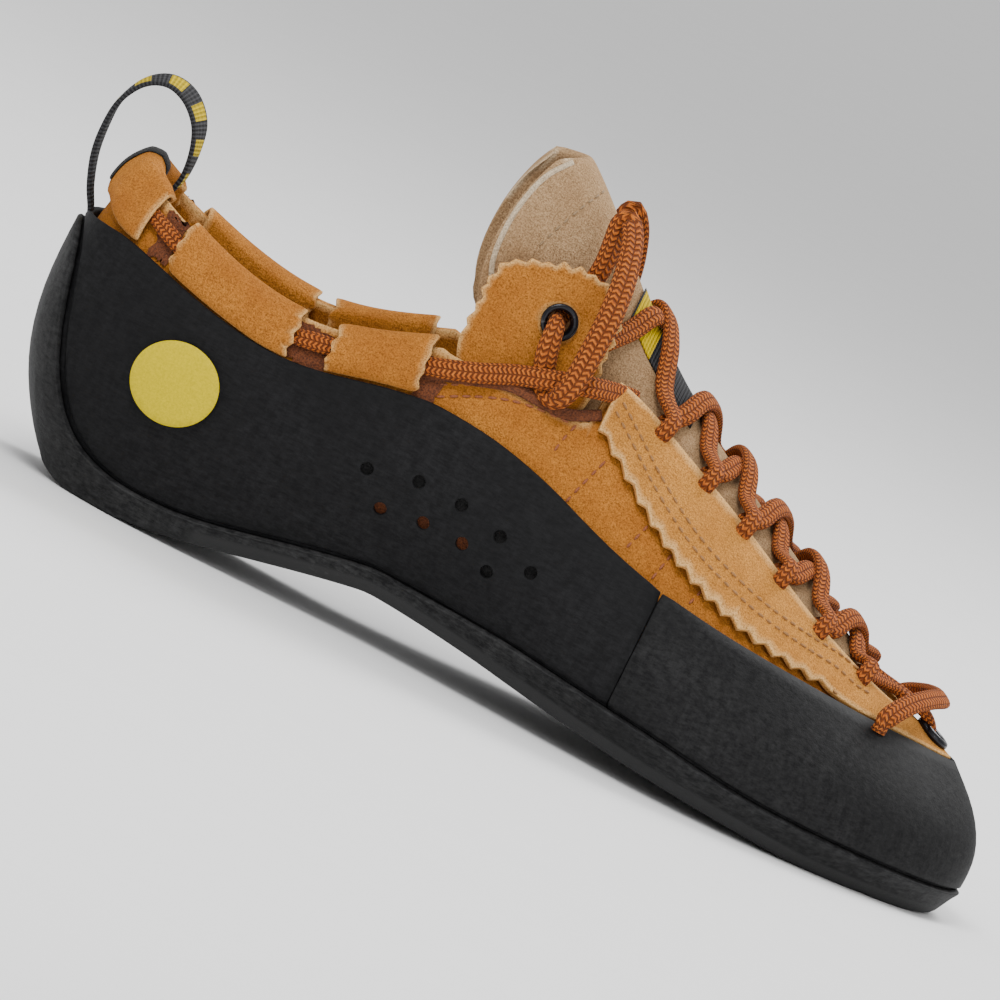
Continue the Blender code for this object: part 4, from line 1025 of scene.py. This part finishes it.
# %% [markdown]
# Under the collar lace, between the folds and the eyestay, the recess is painted dark red-brown as
# painted shade. It is a thin fuzzy strip along the upper's edge on each side.

# %% Painted shade in the recess under the collar lace
RECESS_SHADE_RUN = ((49.0, 62.8), (55.0, 65.0), (63.0, 67.6), (70.0, 69.6), (78.0, 71.0), (85.0, 71.8), (91.0, 72.4))
for side in (LATERAL, MEDIAL):
    spots = [from_side(BARE_SKIN, x, z - 1.6, side) for x, z in RECESS_SHADE_RUN]
    rows = smooth_line([(*(place + facing * 0.5 * MM), *facing) for place, facing in spots], 0.8 * MM)
    swept(f"recess_shade_strip_{SIDES[side]}", rows[:, :3], rows[:, 3:6], 2.8 * MM, 1.2 * MM, RECESS_SHADE)
print("lining edges ready")

# %% [markdown]
# Between the collar's flaps the same painted shade lies as ragged patches beside the lace. Each patch is
# a grid laid on the upper by rays from the side, with its rim left uneven.

# %% Painted shade in the gaps of the collar
GAPS = (
    # x from, x to, z at the bottom, z at the top, in mm
    (-16.5, -11.5, 56.8, 68.0), (21.0, 30.5, 51.2, 59.8), (50.5, 56.0, 56.0, 66.0),
)
for side in (LATERAL, MEDIAL):
    form = bmesh.new()
    for low_x, high_x, low_z, high_z in GAPS:
        grid = bmesh.ops.create_grid(form, x_segments=10, y_segments=12, size=0.5)
        for vert in grid["verts"]:
            ragged = random.uniform(-0.5, 0.5) if max(abs(vert.co.x), abs(vert.co.y)) > 0.49 else 0.0
            x = low_x + (vert.co.x + 0.5) * (high_x - low_x) + ragged
            z = low_z + (vert.co.y + 0.5) * (high_z - low_z) + ragged
            place, facing = from_side(BARE_SKIN, x, z, side)
            vert.co = place + facing * (0.30 + random.uniform(0, 0.25)) * MM
    finish_mesh(form, f"gap_shade_patches_{SIDES[side]}", RECESS_SHADE)
print("lining in the gaps ready")

# %% [markdown]
# The tongue is two layers sewn together. Its near edge is a narrow line, painted pale partly as the raw
# edge and partly as painted highlight, that curves up from the tab to the crest, and one dashed seam
# crosses it further forward.

# %% Tongue's edge and seam
TONGUE_EDGE = ((57.2, -17.4, 83.0), (53.6, -18.4, 90.0), (52.6, -18.2, 98.0), (53.2, -16.6, 106.0),
               (55.4, -13.4, 113.0), (59.5, -9.4, 118.6))
for side in (LATERAL, MEDIAL):
    line = smooth_line(np.array(TONGUE_EDGE) * (MM, -side * MM, MM), 0.8 * MM)
    snapped = [TONGUE_SKIN.find_nearest(Vector(spot)) for spot in line]
    line = np.array([place + facing * 0.05 * MM for place, facing, _, _ in snapped])
    line[1:-1] = (line[:-2] + line[1:-1] + line[2:]) / 3
    facing = np.tile((0.1, side * 1.0, 0.2), (len(line), 1))
    swept(f"tongue_edge_{SIDES[side]}", line, facing, 1.3 * MM, 0.7 * MM, RAW_EDGE_AND_HIGHLIGHT, around=10)
form = bmesh.new()
for side in (LATERAL, MEDIAL):
    stitch_row(form, TONGUE_SKIN, ((61.0, 98.0), (63.2, 104.0), (66.0, 110.5), (69.0, 116.0)), side, pitch=2.6,
               radius=0.3)
finish_mesh(form, "stitches_tongue", PALE_THREAD)
print("tongue's edge and seam ready")

# %% [markdown]
# The floor is a plain pale plane at the height of the sole. Light comes from three broad soft lamps:
# one high in front, one from behind over the toes, and one filling the heel's side.

# %% Floor and light
form = bmesh.new()
bmesh.ops.create_grid(form, x_segments=1, y_segments=1, size=12.0)
floor = as_object(form, "floor")
paper = Recipe("floor_paper", 0.9)
paper.colour(paper.mix(paper.noise(40, 3), (0.86, 0.86, 0.86), (0.89, 0.89, 0.89)))
floor.data.materials.append(paper.material)


def lamp(name, place, aim, size, power):
    """Square soft lamp aimed at a point."""
    light = bpy.data.lights.new(name, "AREA")
    light.size = size
    light.energy = power
    made = bpy.data.objects.new(name, light)
    made.location = place
    made.rotation_euler = (Vector(aim) - Vector(place)).to_track_quat("-Z", "Y").to_euler()
    bpy.context.scene.collection.objects.link(made)


lamp("key", (-0.20, -0.70, 1.0), (0.08, 0, 0.04), 0.45, 12)
lamp("rim", (0.50, 0.55, 0.85), (0.08, 0, 0.05), 0.5, 10)
lamp("fill", (0.75, -0.85, 0.35), (0.10, 0, 0.04), 0.7, 2.5)
world = bpy.data.worlds.new("studio")
world.use_nodes = True
world.node_tree.nodes["Background"].inputs["Color"].default_value = (1, 1, 1, 1)
world.node_tree.nodes["Background"].inputs["Strength"].default_value = 0.8
bpy.context.scene.world = world
print("floor and lamps ready")

# %% [markdown]
# The photo is matched by a camera on the outer side, six degrees above the ground, with a long lens. The
# shoe hangs toe down in it. Here it stands on its sole, so the camera rolls by the same angle.

# %% Camera
ELEVATION = math.radians(6)
ROLL = math.radians(27.04)
AIM = Vector((0.0794, -0.025, 0.0438))
DISTANCE = 3.135
LENS = 500
away = Vector((0, -math.cos(ELEVATION), math.sin(ELEVATION)))
upright = Vector((0, math.sin(ELEVATION), math.cos(ELEVATION)))
right = Vector((1, 0, 0)) * math.cos(ROLL) + upright * math.sin(ROLL)
top = upright * math.cos(ROLL) - Vector((1, 0, 0)) * math.sin(ROLL)
lens = bpy.data.cameras.new("camera")
lens.lens = LENS
lens.sensor_width = 36
camera = bpy.data.objects.new("camera", lens)
camera.matrix_world = Matrix.Translation(AIM + away * DISTANCE) @ Matrix((right, top, away)).transposed().to_4x4()
bpy.context.scene.collection.objects.link(camera)
bpy.context.scene.camera = camera
print("camera at", camera.matrix_world.translation)
